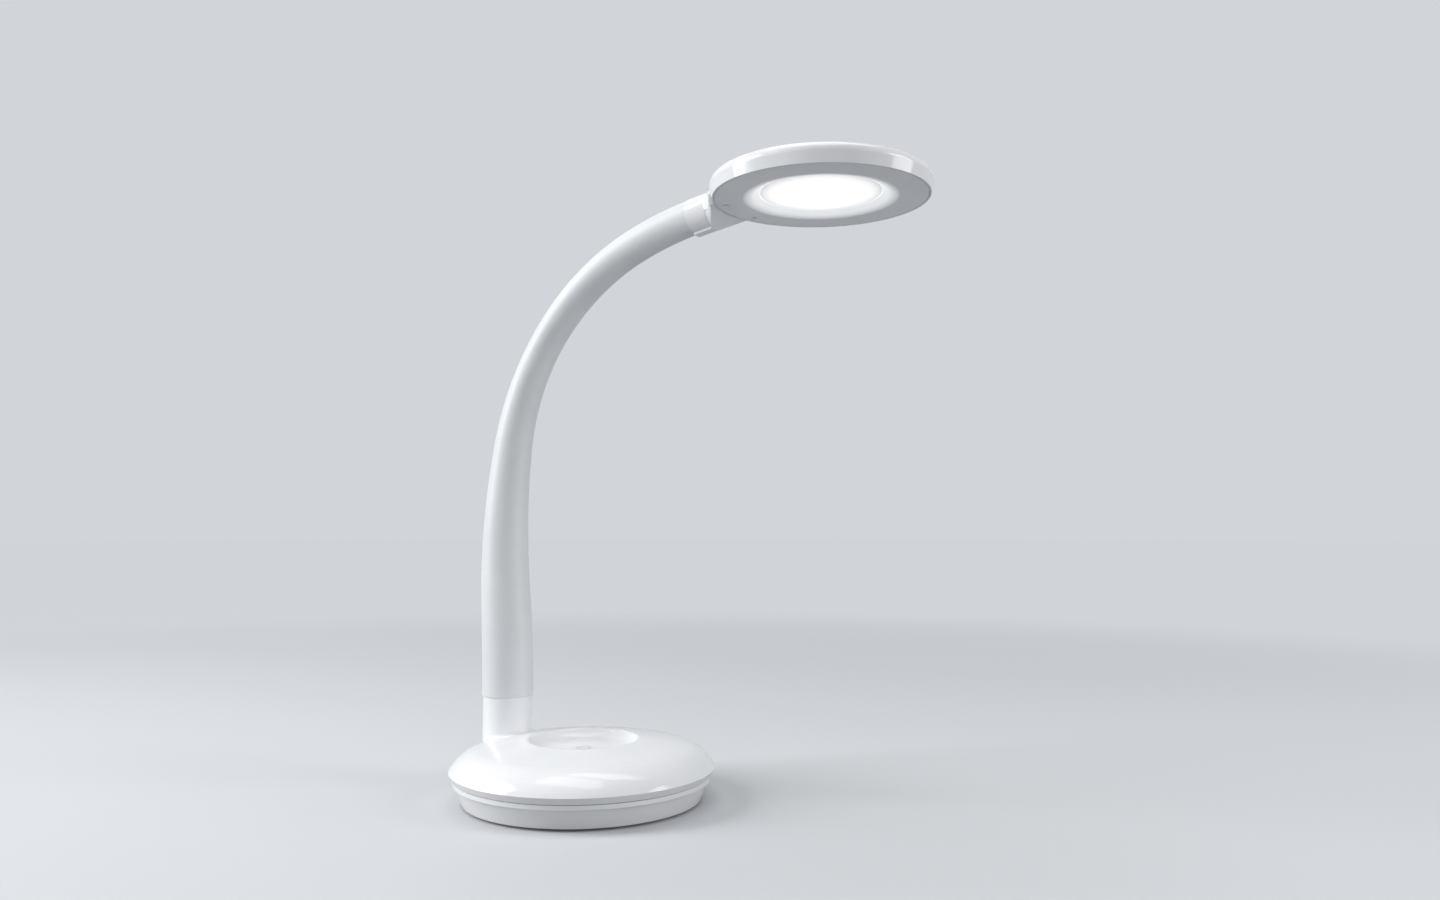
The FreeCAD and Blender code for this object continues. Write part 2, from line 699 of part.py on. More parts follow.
def make_base_tray():
    body = new_body("tray_shell")
    revolve(
        body,
        [
            (None, "pad_thickness"),
            ("skirt_foot_radius", "pad_thickness"),
            ("skirt_top_radius", "skirt_top_height"),
            ("lip_radius", "lip_foot_height"),
            ("lip_radius", "lip_top_height"),
            ("upstand_radius", "lip_top_height"),
            ("upstand_radius", "upstand_top_height"),
            ("upstand_inner_radius", "upstand_top_height"),
            ("upstand_inner_radius", "skirt_top_height"),
            ("skirt_inner_foot_radius", "floor_top"),
            (None, "floor_top"),
        ],
    )
    hole = round_sketch(
        body, "tray_hole_outline", "base_screw_hole", "boss_place", "boss_place", "floor_top")
    polar(body, extrude(body, "Pocket", hole, "tray_floor", upward=False), len(CORNERS))
    recess = round_sketch(
        body, "tray_recess_outline", "base_screw_recess", "boss_place", "boss_place", "pad_thickness")
    recess_cut = extrude(body, "Pocket", recess, "base_screw_recess_depth", upward=True)
    polar(body, recess_cut, len(CORNERS))
    window = block(
        "inlet_window",
        "inlet_length",
        "inlet_width + 2 * window_clearance",
        "inlet_height + window_clearance",
        "-inlet_mouth - inlet_length / 2",
        "-inlet_width / 2 - window_clearance",
        "floor_top",
    )
    return cut("base_tray", body, [window])


def make_ballast():
    disc = cylinder("ballast_disc", "ballast_radius", "ballast_thickness", z="floor_top")
    edges = doc.addObject("Part::Chamfer", "ballast_edge")
    edges.Base = disc
    doc.recompute()
    flat = size("ballast_chamfer")
    edges.Edges = [(number, flat, flat) for number, edge in enumerate(disc.Shape.Edges, 1)
                   if edge.isClosed()]
    tools = []
    for number, (x, y) in enumerate(CORNERS):
        tools.append(cylinder(
            f"ballast_hole_{number}", "base_screw_hole + screw_clearance", "ballast_thickness",
            x + "boss_place", y + "boss_place", "floor_top"))
    tools.append(block(
        "ballast_notch", "ballast_radius", "notch_width", "ballast_thickness",
        "-notch_reach - ballast_radius", "-notch_width / 2", "floor_top"))
    return cut("ballast_plate", edges, tools)


def make_base_screws():
    one = screw(
        size("base_screw_head_radius"), size("base_screw_head_height"),
        size("base_screw_radius"), size("base_screw_length"))
    foot = Vector(0, 0, size("pad_thickness") + size("screw_clearance"))
    places = ring_places(size("boss_circle"), len(CORNERS), 45)
    return solid("base_screws", group([moved(one, place + foot) for place in places]))


def make_control_board():
    blank = block(
        "board_blank", "board_width", "board_width", "board_thickness",
        "-board_width / 2", "-board_width / 2", "board_height")
    holes = []
    for number, (x, y) in enumerate(CORNERS):
        holes.append(cylinder(
            f"board_hole_{number}", "board_screw_hole", "board_thickness",
            x + "pillar_place", y + "pillar_place", "board_height"))
    return cut("control_board", blank, holes)


def make_board_parts():
    terminal = block(
        "terminal_block", "terminal_length", "terminal_width", "terminal_height",
        "terminal_face", "-terminal_width / 2", "board_top")
    choke = cylinder(
        "choke", "choke_radius", "choke_height", "board_part_place", "-board_part_place", "board_top")
    capacitor = cylinder(
        "capacitor", "capacitor_radius", "capacitor_height", None, "-board_part_place", "board_top")
    chip = block(
        "driver_chip", "driver_chip_width", "driver_chip_width", "driver_chip_height",
        "-driver_chip_width / 2", "board_part_place", "board_top")
    parts = doc.addObject("Part::Compound", "board_parts")
    parts.Links = [terminal, choke, capacitor, chip]
    return parts


def make_board_screws():
    one = screw(
        size("board_screw_head_radius"), size("board_screw_head_height"),
        size("board_screw_radius"), size("board_screw_head_height") + size("board_screw_length"))
    foot = Vector(0, 0, size("board_height") - size("board_screw_head_height"))
    places = ring_places(size("pillar_circle"), len(CORNERS), 45)
    return solid("board_screws", group([moved(one, place + foot) for place in places]))


def make_touch_plate():
    return cylinder(
        "touch_plate", "touch_plate_radius", "touch_plate_thickness",
        z="dish_under_height - touch_plate_thickness")


def make_touch_contact():
    body = new_body("touch_contact", None, "-contact_width / 2", "board_top")
    sketch = new_sketch(body, "contact_outline", "XZ_Plane")
    outline(
        sketch,
        [
            (None, None),
            ("contact_length", None),
            ("contact_length", "contact_thickness"),
            ("contact_thickness", "contact_thickness"),
            ("contact_thickness", "contact_upper"),
            ("contact_length", "contact_upper"),
            ("contact_length", "contact_height"),
            (None, "contact_height"),
        ],
    )
    extrude(body, "Pad", sketch, "contact_width", upward=False)
    return body


def make_power_inlet():
    shell = block(
        "inlet_shell", "inlet_length", "inlet_width", "inlet_height",
        "-inlet_mouth", "-inlet_width / 2", "floor_top")
    bore = cylinder(
        "inlet_bore", "inlet_bore_radius", "inlet_bore_depth",
        "-inlet_mouth", None, "inlet_axis_height")
    bore.Placement.Rotation = Rotation(Vector(0, 1, 0), 90)
    return cut("power_inlet", shell, [bore])


def make_inlet_pin():
    pin = cylinder(
        "inlet_pin", "inlet_pin_radius", "inlet_pin_length",
        "inlet_pin_tip_gap - inlet_mouth", None, "inlet_axis_height")
    pin.Placement.Rotation = Rotation(Vector(0, 1, 0), 90)
    return pin


def make_arm_anchor():
    body = new_body("arm_anchor", "-stem_offset", None, "anchor_bottom")
    corners = [
        ("core_seat", None),
        ("anchor_radius", None),
        ("anchor_radius", "anchor_flange_foot"),
        ("anchor_flange_radius", "anchor_flange_foot"),
        ("anchor_flange_radius", "anchor_height"),
        ("core_seat", "anchor_height"),
    ]
    revolve(body, corners)
    return body


def make_anchor_nut():
    hexagon = doc.addObject("Part::Prism", "nut_blank")
    hexagon.Polygon = 6
    bind(hexagon, Circumradius="nut_corner_radius", Height="nut_thickness")
    place(hexagon, "-stem_offset", None, "anchor_floor_height - nut_thickness")
    thread = cylinder(
        "nut_thread", "anchor_radius + thread_clearance", "nut_thickness",
        "-stem_offset", None, "anchor_floor_height - nut_thickness")
    return cut("anchor_nut", hexagon, [thread])


# Arm: the centre line is four tangent stretches, and everything on it is placed by its
# distance from the top of the stub

def arm_stretches():
    names = ("lean", "rise", "bend", "nose")
    return [(size(name + "_length"), math.radians(size(name + "_turn"))) for name in names]


def arm_station(distance):
    """Point and heading, in radians from +Z towards +X, at a distance along the arm."""
    point = Vector(-size("stem_offset"), 0, size("stub_top"))
    heading = 0.0
    if distance < 0:
        return point + Vector(0, 0, distance), heading
    left = distance
    for length, turn in arm_stretches():
        part = min(left, length)
        swept = turn * part / length
        chord = 2 * length / turn * math.sin(swept / 2)
        middle = heading + swept / 2
        point = point + Vector(math.sin(middle), 0, math.cos(middle)) * chord
        heading += swept
        left -= part
        if left <= 0:
            return point, heading
    return point + Vector(math.sin(heading), 0, math.cos(heading)) * left, heading


def arm_placement(distance):
    point, heading = arm_station(distance)
    return Placement(point, Rotation(Vector(0, 1, 0), math.degrees(heading)))


def arm_wire(first, last):
    """Exact lines and arcs of the centre line between two distances."""
    ends = [0.0]
    for length, turn in arm_stretches():
        ends.append(ends[-1] + length)
    stops = [first] + [stop for stop in ends if first + 0.01 < stop < last - 0.01] + [last]
    edges = []
    for start, finish in zip(stops, stops[1:]):
        points = [arm_station(part)[0] for part in (start, (start + finish) / 2, finish)]
        if start < 0 or start >= ends[-1] - 0.01:
            edges.append(Part.makeLine(points[0], points[2]))
        else:
            edges.append(Part.Arc(*points).toShape())
    return Part.Wire(edges)


def round_rod(radius, path, placement):
    ring = Part.makeCircle(radius)
    ring.Placement = placement
    return path.makePipeShell([Part.Wire([ring])], True, False)


def arm_rod(radius, first, last):
    return round_rod(radius, arm_wire(first, last), arm_placement(first))


def sleeve_radius(distance):
    """The sleeve narrows from its foot to its neck along a smooth S curve."""
    share = (distance - size("taper_start")) / size("taper_length")
    share = max(0.0, min(1.0, share))
    blend = share * share * (3 - 2 * share)
    foot, neck = size("sleeve_foot_radius"), size("sleeve_neck_radius")
    return foot + blend * (neck - foot)


def sleeve_rod(inset, first, last):
    rings = []
    for index in range(SLEEVE_RINGS):
        distance = first + (last - first) * index / (SLEEVE_RINGS - 1)
        ring = Part.makeCircle(sleeve_radius(distance) - inset)
        ring.Placement = arm_placement(distance)
        rings.append(Part.Wire([ring]))
    return Part.makeLoft(rings, True)


def joint_distance(index):
    return (index + 0.5) * size("joint_pitch")


def link_span(index):
    """Distances where a link starts and ends; the first and the last are half links."""
    count = int(size("joint_count"))
    start = joint_distance(index - 1) if index > 0 else 0.0
    finish = joint_distance(index) if index < count else size("arm_length")
    return start, finish, index > 0, index < count


def ball(radius, distance):
    return Part.makeSphere(radius, arm_station(distance)[0])


def round_ends(piece, start, finish, socket_radius, ball_radius):
    """Cuts a hollow socket at the start and leaves a round ball face at the finish, both
    centred on their joint, so that neighbours turn without touching."""
    if socket_radius:
        piece = piece.cut(ball(socket_radius, start))
    if ball_radius:
        reach = ball_radius * 2
        outside = Part.makeCylinder(reach, reach)
        outside.Placement = arm_placement(finish)
        piece = piece.cut(outside.cut(ball(ball_radius, finish)))
    return piece


def make_sleeve_link(index):
    start, finish, has_socket, has_ball = link_span(index)
    gap = size("joint_gap")
    ratio = size("sleeve_ball_ratio")
    ball_radius = sleeve_radius(finish) * ratio if has_ball else 0
    socket_radius = sleeve_radius(start) * ratio + gap if has_socket else 0
    piece = sleeve_rod(0, start, finish + ball_radius)
    bore_start = start if has_socket else start - OVERRUN
    bore_finish = finish + ball_radius + OVERRUN
    piece = piece.cut(sleeve_rod(size("sleeve_wall"), bore_start, bore_finish))
    return solid(f"sleeve_{index}", round_ends(piece, start, finish, socket_radius, ball_radius))


def make_core_link(index):
    start, finish, has_socket, has_ball = link_span(index)
    if not has_socket:
        start = size("core_foot_height") - size("stub_top")
    if not has_ball:
        finish = size("arm_length") + size("bulkhead_thickness") + size("clamp_length")
    ball_radius = size("core_ball_radius") if has_ball else 0
    socket_radius = size("core_ball_radius") + size("joint_gap") if has_socket else 0
    last = finish + ball_radius
    piece = arm_rod(size("core_radius"), start, last)
    piece = piece.cut(arm_rod(size("core_bore"), start, last))
    return solid(f"core_{index}", round_ends(piece, start, finish, socket_radius, ball_radius))


def corner_arc(before, corner, after, radius):
    """Arc of a given radius that rounds the corner of two straight runs."""
    back = (before - corner).normalize()
    ahead = (after - corner).normalize()
    half = back.getAngle(ahead) / 2
    to_centre = (back + ahead).normalize() * (radius / math.sin(half))
    reach = radius / math.tan(half)
    centre = corner + to_centre
    middle = centre - (back + ahead).normalize() * radius
    return Part.Arc(corner + back * reach, middle, corner + ahead * reach).toShape()


def rounded_path(points, radius):
    """Straight runs through the points, with each inner corner rounded."""
    edges = []
    start = points[0]
    for before, corner, after in zip(points, points[1:], points[2:]):
        arc = corner_arc(before, corner, after, radius)
        first, last = arc.valueAt(arc.FirstParameter), arc.valueAt(arc.LastParameter)
        if first.distanceToPoint(before) > last.distanceToPoint(before):
            first, last = last, first
        edges += [Part.makeLine(start, first), arc]
        start = last
    return edges + [Part.makeLine(start, points[-1])]


def base_lead_path(last):
    """From the terminal block, round a small bend, and up into the arm."""
    stem = -size("stem_offset")
    level = size("lead_height")
    terminal = Vector(size("terminal_face"), 0, level)
    foot = Vector(stem, 0, size("stub_top"))
    edges = rounded_path([terminal, Vector(stem, 0, level), foot], size("lead_bend_radius"))
    start = Placement(terminal, Rotation(Vector(0, 1, 0), -90))
    return Part.Wire(edges + arm_wire(0, last).Edges), start


def head_lead_path(first):
    """Out of the arm's tip along its heading, then level to the light board's edge."""
    tip, heading = arm_station(size("arm_length"))
    level = size("head_height") + size("head_lead_height")
    corner = Vector(tip.x + (level - tip.z) * math.tan(heading), 0, level)
    end = Vector(size("head_place") - size("led_board_radius"), 0, level)
    edges = rounded_path([tip, corner, end], size("head_lead_bend_radius"))
    return Part.Wire(arm_wire(first, size("arm_length")).Edges + edges)


def make_lead_link(index):
    start, finish, has_socket, has_ball = link_span(index)
    ball_radius = size("lead_ball_radius") if has_ball else 0
    socket_radius = size("lead_ball_radius") + size("joint_gap") if has_socket else 0
    radius = size("lead_radius")
    if not has_socket:
        path, foot = base_lead_path(finish + ball_radius)
        piece = round_rod(radius, path, foot)
    elif not has_ball:
        piece = round_rod(radius, head_lead_path(start), arm_placement(start))
    else:
        piece = arm_rod(radius, start, finish + ball_radius)
    return solid(f"lead_{index}", round_ends(piece, start, finish, socket_radius, ball_radius))


def make_supply_lead():
    """From the back of the inlet up through the ballast notch and across to the board."""
    side = -size("supply_lead_side")
    low = size("inlet_axis_height")
    high = size("lead_height")
    back = size("inlet_length") - size("inlet_mouth")
    rise = back + size("supply_lead_rise")
    end = size("terminal_face")
    points = [Vector(back, side, low), Vector(rise, side, low),
              Vector(rise, side, high), Vector(end, side, high)]
    path = Part.Wire(rounded_path(points, size("lead_bend_radius")))
    start = Placement(points[0], Rotation(Vector(0, 1, 0), 90))
    return solid("supply_lead", round_rod(size("supply_lead_radius"), path, start))


# Light head: sizes are heights above the middle of its underside

def head_body(name):
    return new_body(name, "head_place", None, "head_height")


def head_cylinder(name, radius, height, base, x=None, y=None):
    across = "head_place + " + x if x else "head_place"
    return cylinder(name, radius, height, across, y, "head_height + " + base)


def head_screw_places():
    """Cell formulas of the two screws beside the neck."""
    x = "-head_screw_circle * cos(head_screw_spread)"
    y = "head_screw_circle * sin(head_screw_spread)"
    return [(x, y), (x, "-" + y)]


def make_head_cap():
    body = head_body("head_cap")
    revolve(
        body,
        [
            (None, "head_crown_height"),
            ("head_tangent_radius", "head_tangent_height"),
            ("head_side_radius", "head_side_height"),
            ("head_foot_radius", None),
            ("bezel_lip_radius", None),
            ("bezel_lip_radius", "bezel_seat_height"),
            ("head_inner_radius", "bezel_seat_height"),
            ("head_inner_radius", "head_inner_side_height"),
            ("head_inner_edge_radius", "head_inner_edge_height"),
            (None, "head_inner_crown_height"),
        ],
        {0: ("head_crown_sweep", "right"), 1: ("head_corner_radius", "right")},
    )
    return body


def neck_section(inset, share):
    """Ring across the neck: a circle at the collar, share 0, and a wide flat oval in the
    head's edge, share 1. Its top and bottom lines run smoothly from one to the other."""
    blend = share * share * (3 - 2 * share)
    heading = size("tip_heading") + share * (90 - size("tip_heading"))
    lean = math.radians(size("tip_heading"))
    collar = size("collar_radius")
    start, reach = size("collar_length") * math.sin(lean), size("flare_reach")
    level = size("neck_rise") + size("collar_length") * math.cos(lean)
    top = (1 - blend) * (level + collar) + blend * size("flare_crown")
    bottom = (1 - blend) * (level - collar) + blend * size("flare_foot_lift")
    half_width = (1 - blend) * collar + blend * size("flare_half_width")
    half_height = (top - bottom) / 2
    ring = Part.Ellipse(Vector(0, 0, 0), half_width - inset, half_height - inset).toShape()
    along = size("tip_place") + start + share * (reach - start)
    middle = Vector(along, 0, size("head_height") + (top + bottom) / 2)
    ring.Placement = Placement(middle, Rotation(90, 0, heading))
    return Part.Wire([ring])


def neck_form(inset, first):
    """A round collar from the arm's tip on, and a flare that flattens into the head."""
    collar = Part.makeCylinder(size("collar_radius") - inset, size("collar_length") - first)
    collar.Placement = arm_placement(size("arm_length") + first)
    rings = [neck_section(inset, number / (NECK_RINGS - 1)) for number in range(NECK_RINGS)]
    return collar.fuse(Part.makeLoft(rings, True))


def neck_shell():
    return neck_form(0, 0).cut(neck_form(size("neck_wall"), size("bulkhead_thickness")))


def below_split(gap):
    """Room of the neck's lower cover, from the collar on and under the head's side."""
    start = size("tip_place") + size("collar_length") + gap
    depth = size("collar_radius") * 2
    width = size("flare_half_width") * 2 + OVERRUN
    top = size("head_height") + size("neck_split_height") - gap
    return Part.makeBox(size("neck_reach"), width, depth, Vector(start, -width / 2, top - depth))


def under_head(radius, foot, top):
    """Round room about the head's axis."""
    return Part.makeCylinder(radius, top - foot, head_point(foot))


def tip_tube(outer, inner, first, last):
    """Tube, or a rod, on the arm's heading, between two distances from its tip."""
    tube = Part.makeCylinder(outer, last - first)
    if inner:
        tube = tube.cut(Part.makeCylinder(inner, last - first))
    along = Placement(Vector(0, 0, first), Rotation())
    tube.Placement = arm_placement(size("arm_length")).multiply(along)
    return tube


def make_head_cover():
    """The moulded top shell: cap, neck and spigot in one, hollow from the collar on."""
    cap = make_head_cap()
    bulkhead = size("bulkhead_thickness")
    depth = size("collar_radius")
    lip_middle = (size("bezel_lip_radius") + size("head_foot_radius")) / 2
    wall_middle = (size("head_inner_radius") + size("bezel_lip_radius")) / 2
    crown_middle = size("head_inner_edge_height") + size("head_wall") / 2
    neck = neck_form(0, 0).cut(below_split(0))
    neck = neck.cut(under_head(lip_middle, -depth, size("bezel_seat_height")))
    neck = solid("neck_blank", neck.cut(under_head(wall_middle, -depth, crown_middle)))
    spigot_reach = size("head_spigot_length")
    spigot = solid("neck_spigot", tip_tube(size("head_spigot_radius"), 0, -spigot_reach, bulkhead))
    window = solid("neck_window", neck_form(size("neck_wall"), bulkhead))
    core_exit = solid("core_exit", tip_tube(
        size("core_exit_radius"), 0, -spigot_reach - OVERRUN, bulkhead + OVERRUN))
    pieces = [cap, neck, spigot]
    holes = [window, core_exit]
    for number, (x, y) in enumerate(head_screw_places()):
        pieces.append(head_cylinder(
            f"head_boss_{number}", "head_boss_radius",
            "head_inner_edge_height + head_wall / 2 - bezel_seat_height",
            "bezel_seat_height", x, y))
        holes.append(head_cylinder(
            f"head_pilot_{number}", "head_screw_hole",
            "bezel_lift + head_screw_length + pilot_clearance - bezel_seat_height",
            "bezel_seat_height", x, y))
    for angle in LED_SCREW_ANGLES:
        holes.append(head_cylinder(
            f"led_pilot_{angle}", "led_screw_hole", "led_screw_length + screw_clearance",
            "led_board_height", f"led_screw_circle * cos({angle})", f"led_screw_circle * sin({angle})"))
    whole = doc.addObject("Part::MultiFuse", "head_blank")
    whole.Shapes = pieces
    return cut("head_cover", whole, holes)


def below_keel():
    """Room under the slanted flat from the tongue's end up to the head's lower edge."""
    depth = size("collar_radius") + size("neck_split_gap") + size("tongue_thickness")
    foot = arm_placement(size("arm_length")).multVec(Vector(depth, 0, size("tongue_length")))
    edge = Vector(size("head_place") - size("head_foot_radius"), 0, size("head_height"))
    edge.z += size("keel_lift")
    slope = math.atan2(edge.z - foot.z, edge.x - foot.x)
    length = size("neck_reach")
    width = size("flare_half_width") * 4
    room = Part.makeBox(length * 2, width, length, Vector(-length, -width / 2, -length))
    room.Placement = Placement(foot, Rotation(Vector(0, 1, 0), -math.degrees(slope)))
    return room


def neck_keel():
    """Solid floor of the lower cover: it fans out from the tongue to the head's edge."""
    gap = size("neck_split_gap")
    start = size("tip_place") + size("collar_length") + gap
    end = size("head_place") - size("head_foot_radius") + OVERRUN
    narrow, wide = size("tongue_width") / 2, size("keel_half_width")
    low = size("head_height") - size("collar_radius") * 2
    corners = [Vector(start, -narrow, low), Vector(end, -wide, low),
               Vector(end, wide, low), Vector(start, narrow, low)]
    face = Part.Face(Part.makePolygon(corners + corners[:1]))
    fan = face.extrude(Vector(0, 0, size("head_height") + size("neck_split_height") - gap - low))
    return fan.cut(neck_form(size("neck_wall") / 2, 0))


def neck_tongue():
    """Narrow strip under the collar, clear of it by the split's gap."""
    gap = size("neck_split_gap")
    reach = size("collar_length") + OVERRUN
    thick = size("collar_radius") / 2
    depth = size("collar_radius") + gap + size("tongue_thickness")
    width = size("tongue_width")
    strip = Part.makeBox(thick, width, reach - gap, Vector(depth - thick, -width / 2, gap))
    strip.Placement = arm_placement(size("arm_length"))
    room = tip_tube(size("collar_radius") + gap, 0, -OVERRUN, reach + OVERRUN)
    beyond = Vector(size("tip_place") + size("collar_length") + gap, -depth, size("tip_height") - depth * 2)
    ahead = Part.makeBox(reach, depth * 2, depth * 4, beyond)
    hollow = neck_form(size("neck_wall") / 2, 0)
    return strip.cut(room.cut(ahead)).cut(hollow)


def make_neck_cover():
    gap = size("neck_split_gap")
    side = under_head(size("split_radius") + gap, -size("collar_radius") * 2, size("head_edge_height"))
    shell = neck_shell().common(below_split(gap))
    whole = shell.fuse([neck_keel(), neck_tongue()]).cut(below_keel()).cut(side)
    return solid("neck_cover", whole.removeSplitter())


def make_head_bezel():
    body = head_body("bezel_plate")
    revolve(
        body,
        [
            ("recess_radius", None),
            ("bezel_radius", None),
            ("bezel_radius", "bezel_thickness"),
            ("bezel_shoulder_radius", "bezel_thickness"),
            ("bezel_ring_radius", "bezel_shoulder_height"),
            ("bezel_ring_radius", "bezel_ring_height"),
            ("diffuser_ring_radius", "bezel_ring_height"),
            ("diffuser_ring_radius", "light_lip_height"),
            ("light_radius", "light_lip_height"),
            ("light_radius", "recess_depth"),
        ],
        {9: ("recess_sweep", "left")},
    )
    tools = []
    for number, (x, y) in enumerate(head_screw_places()):
        tools.append(head_cylinder(
            f"bezel_hole_{number}", "head_screw_hole", "bezel_thickness", "bezel_lift", x, y))
        sink = doc.addObject("Part::Cone", f"bezel_sink_{number}")
        bind(
            sink, Radius1="head_screw_recess", Radius2="head_screw_hole",
            Height="head_screw_head_height + screw_clearance")
        place(sink, "head_place + " + x, y, "head_height")
        tools.append(sink)
    return cut("head_bezel", body, tools)


def make_diffuser():
    body = head_body("diffuser")
    revolve(
        body,
        [
            (None, "diffuser_crown_height"),
            ("diffuser_face_radius", "diffuser_face_height"),
            ("diffuser_step_radius", "light_lip_height"),
            ("diffuser_radius", "light_lip_height"),
            ("diffuser_radius", "diffuser_top_height"),
            (None, "diffuser_top_height"),
        ],
        {0: ("diffuser_sweep", "left"), 1: ("diffuser_edge_round", "left")},
    )
    return body


def drilled_disc(name, radius, thickness, base):
    disc = head_cylinder(name + "_blank", radius, thickness, base)
    holes = []
    for angle in LED_SCREW_ANGLES:
        holes.append(head_cylinder(
            f"{name}_hole_{angle}", "led_screw_hole", thickness, base,
            f"led_screw_circle * cos({angle})", f"led_screw_circle * sin({angle})"))
    return cut(name, disc, holes)


def head_point(height):
    return Vector(size("head_place"), 0, size("head_height") + height)


def make_led_chips():
    chips = []
    foot = head_point(size("led_board_height") - size("chip_height"))
    length, width = size("chip_length"), size("chip_width")
    for ring in ("inner", "outer"):
        count = int(size("chip_count_" + ring))
        for index in range(count):
            chip = Part.makeBox(length, width, size("chip_height"), Vector(
                size("chip_ring_" + ring) - length / 2, -width / 2, 0))
            chip.rotate(Vector(0, 0, 0), Vector(0, 0, 1), 360.0 * (index + 0.5) / count)
            chips.append(moved(chip, foot))
    return solid("led_chips", group(chips))


def make_led_screws():
    head = size("led_screw_head_height")
    length = head + size("led_screw_length")
    one = screw(size("led_screw_head_radius"), head, size("led_screw_radius"), length)
    foot = head_point(size("led_board_height") - head)
    places = ring_places(size("led_screw_circle"), len(LED_SCREW_ANGLES), 0)
    return solid("led_screws", group([moved(one, spot + foot) for spot in places]))


def make_head_screws():
    one = screw(
        size("head_screw_head_radius"), size("head_screw_head_height"),
        size("head_screw_radius"), size("head_screw_length"), countersunk=True)
    foot = head_point(size("bezel_lift"))
    spread = math.radians(size("head_screw_spread"))
    circle = size("head_screw_circle")
    screws = []
    for side in (-1, 1):
        spot = Vector(-circle * math.cos(spread), side * circle * math.sin(spread), 0)
        screws.append(moved(one, foot + spot))
    return solid("head_screws", group(screws))


def clamp_span():
    first = size("bulkhead_thickness")
    return first, first + size("clamp_length")


def clamp_screw_at(radius, inner, outer):
    """Grub screw that points up from under the clamp to the core."""
    first, last = clamp_span()
    middle = Placement(Vector(outer, 0, (first + last) / 2), Rotation(Vector(0, 1, 0), -90))
    shank = Part.makeCylinder(radius, outer - inner)
    shank.Placement = arm_placement(size("arm_length")).multiply(middle)
    return shank


def make_neck_clamp():
    outer = size("clamp_radius")
    tube = tip_tube(outer, size("core_seat"), *clamp_span())
    hole_radius = size("clamp_screw_radius") + size("thread_clearance")
    return solid("neck_clamp", tube.cut(clamp_screw_at(hole_radius, 0, outer + OVERRUN)))


def make_clamp_screw():
    radius = size("clamp_screw_radius")
    return solid("clamp_screw", clamp_screw_at(radius, size("core_seat"), size("clamp_radius")))


def make_parts():
    parts = [
        make_base_cover(),
        make_base_tray(),
        cylinder("foot_pad", "pad_radius", "pad_thickness"),
        make_ballast(),
        make_base_screws(),
        make_control_board(),
        make_board_parts(),
        make_board_screws(),
        make_touch_plate(),
        make_touch_contact(),
        make_power_inlet(),
        make_inlet_pin(),
        make_arm_anchor(),
        make_anchor_nut(),
        make_supply_lead(),
        make_head_cover(),
        make_neck_cover(),
        make_head_bezel(),
        make_diffuser(),
        drilled_disc("led_board", "led_board_radius", "led_board_thickness", "led_board_height"),
        drilled_disc("heat_spreader", "spreader_radius", "spreader_thickness", "spreader_height"),
        make_led_chips(),
        make_led_screws(),
        make_head_screws(),
        make_neck_clamp(),
        make_clamp_screw(),
    ]
    for index in range(int(size("joint_count")) + 1):
        parts += [make_sleeve_link(index), make_core_link(index), make_lead_link(index)]
    return parts


def check(parts):
    doc.recompute()
    for item in doc.Objects:
        if "Invalid" in item.State or "Error" in item.State:
            raise ValueError(f"{item.Name} did not compute: {item.State}")
    for item in parts:
        if item.Shape.isNull() or not item.Shape.isValid():
            raise ValueError(f"{item.Label} has no valid shape")


fill_sheet()
all_parts = make_parts()
check(all_parts)
os.makedirs("parts", exist_ok=True)
for item in all_parts:
    item.Shape.exportStep(os.path.join("parts", item.Label + ".step"))
    print(f"{item.Label}: {len(item.Shape.Solids)} solid(s), {item.Shape.Volume / 1000:.2f} cm3")
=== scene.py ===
import json
import math

import bpy
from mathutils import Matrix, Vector


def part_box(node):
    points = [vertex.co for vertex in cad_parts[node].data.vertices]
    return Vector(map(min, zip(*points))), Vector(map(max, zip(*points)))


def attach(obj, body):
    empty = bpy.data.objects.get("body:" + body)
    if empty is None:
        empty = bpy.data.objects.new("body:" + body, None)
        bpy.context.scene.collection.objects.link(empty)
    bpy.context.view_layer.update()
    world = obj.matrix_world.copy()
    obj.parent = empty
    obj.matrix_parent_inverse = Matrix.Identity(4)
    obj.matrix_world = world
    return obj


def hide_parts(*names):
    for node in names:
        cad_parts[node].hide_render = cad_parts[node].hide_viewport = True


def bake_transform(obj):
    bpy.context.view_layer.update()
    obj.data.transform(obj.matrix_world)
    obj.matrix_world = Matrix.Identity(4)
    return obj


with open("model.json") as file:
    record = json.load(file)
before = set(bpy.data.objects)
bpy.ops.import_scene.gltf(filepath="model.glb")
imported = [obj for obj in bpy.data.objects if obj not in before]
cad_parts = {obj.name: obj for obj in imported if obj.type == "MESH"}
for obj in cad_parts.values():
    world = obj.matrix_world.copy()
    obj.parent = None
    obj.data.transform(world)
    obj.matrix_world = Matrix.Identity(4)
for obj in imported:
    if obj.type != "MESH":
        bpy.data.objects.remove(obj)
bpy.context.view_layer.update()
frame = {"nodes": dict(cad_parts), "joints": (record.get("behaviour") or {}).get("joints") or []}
nodes = frame["nodes"]
mm = 0.001


# Small helpers

def linear(level):  # a screen level from 0 to 255 as the shader's own value
    share = level / 255
    return share / 12.92 if share <= 0.04045 else ((share + 0.055) / 1.055) ** 2.4


def tone(red, green, blue):
    return (linear(red), linear(green), linear(blue), 1)


def addNode(tree, kind, place, **settings):
    node = tree.nodes.new(kind)
    node.location = place
    for name, value in settings.items():
        setattr(node, name, value)
    return node


def feed(tree, socket, value):  # a socket takes a link or a plain value
    if isinstance(value, bpy.types.NodeSocket):
        tree.links.new(value, socket)
    elif value is not None:
        socket.default_value = value


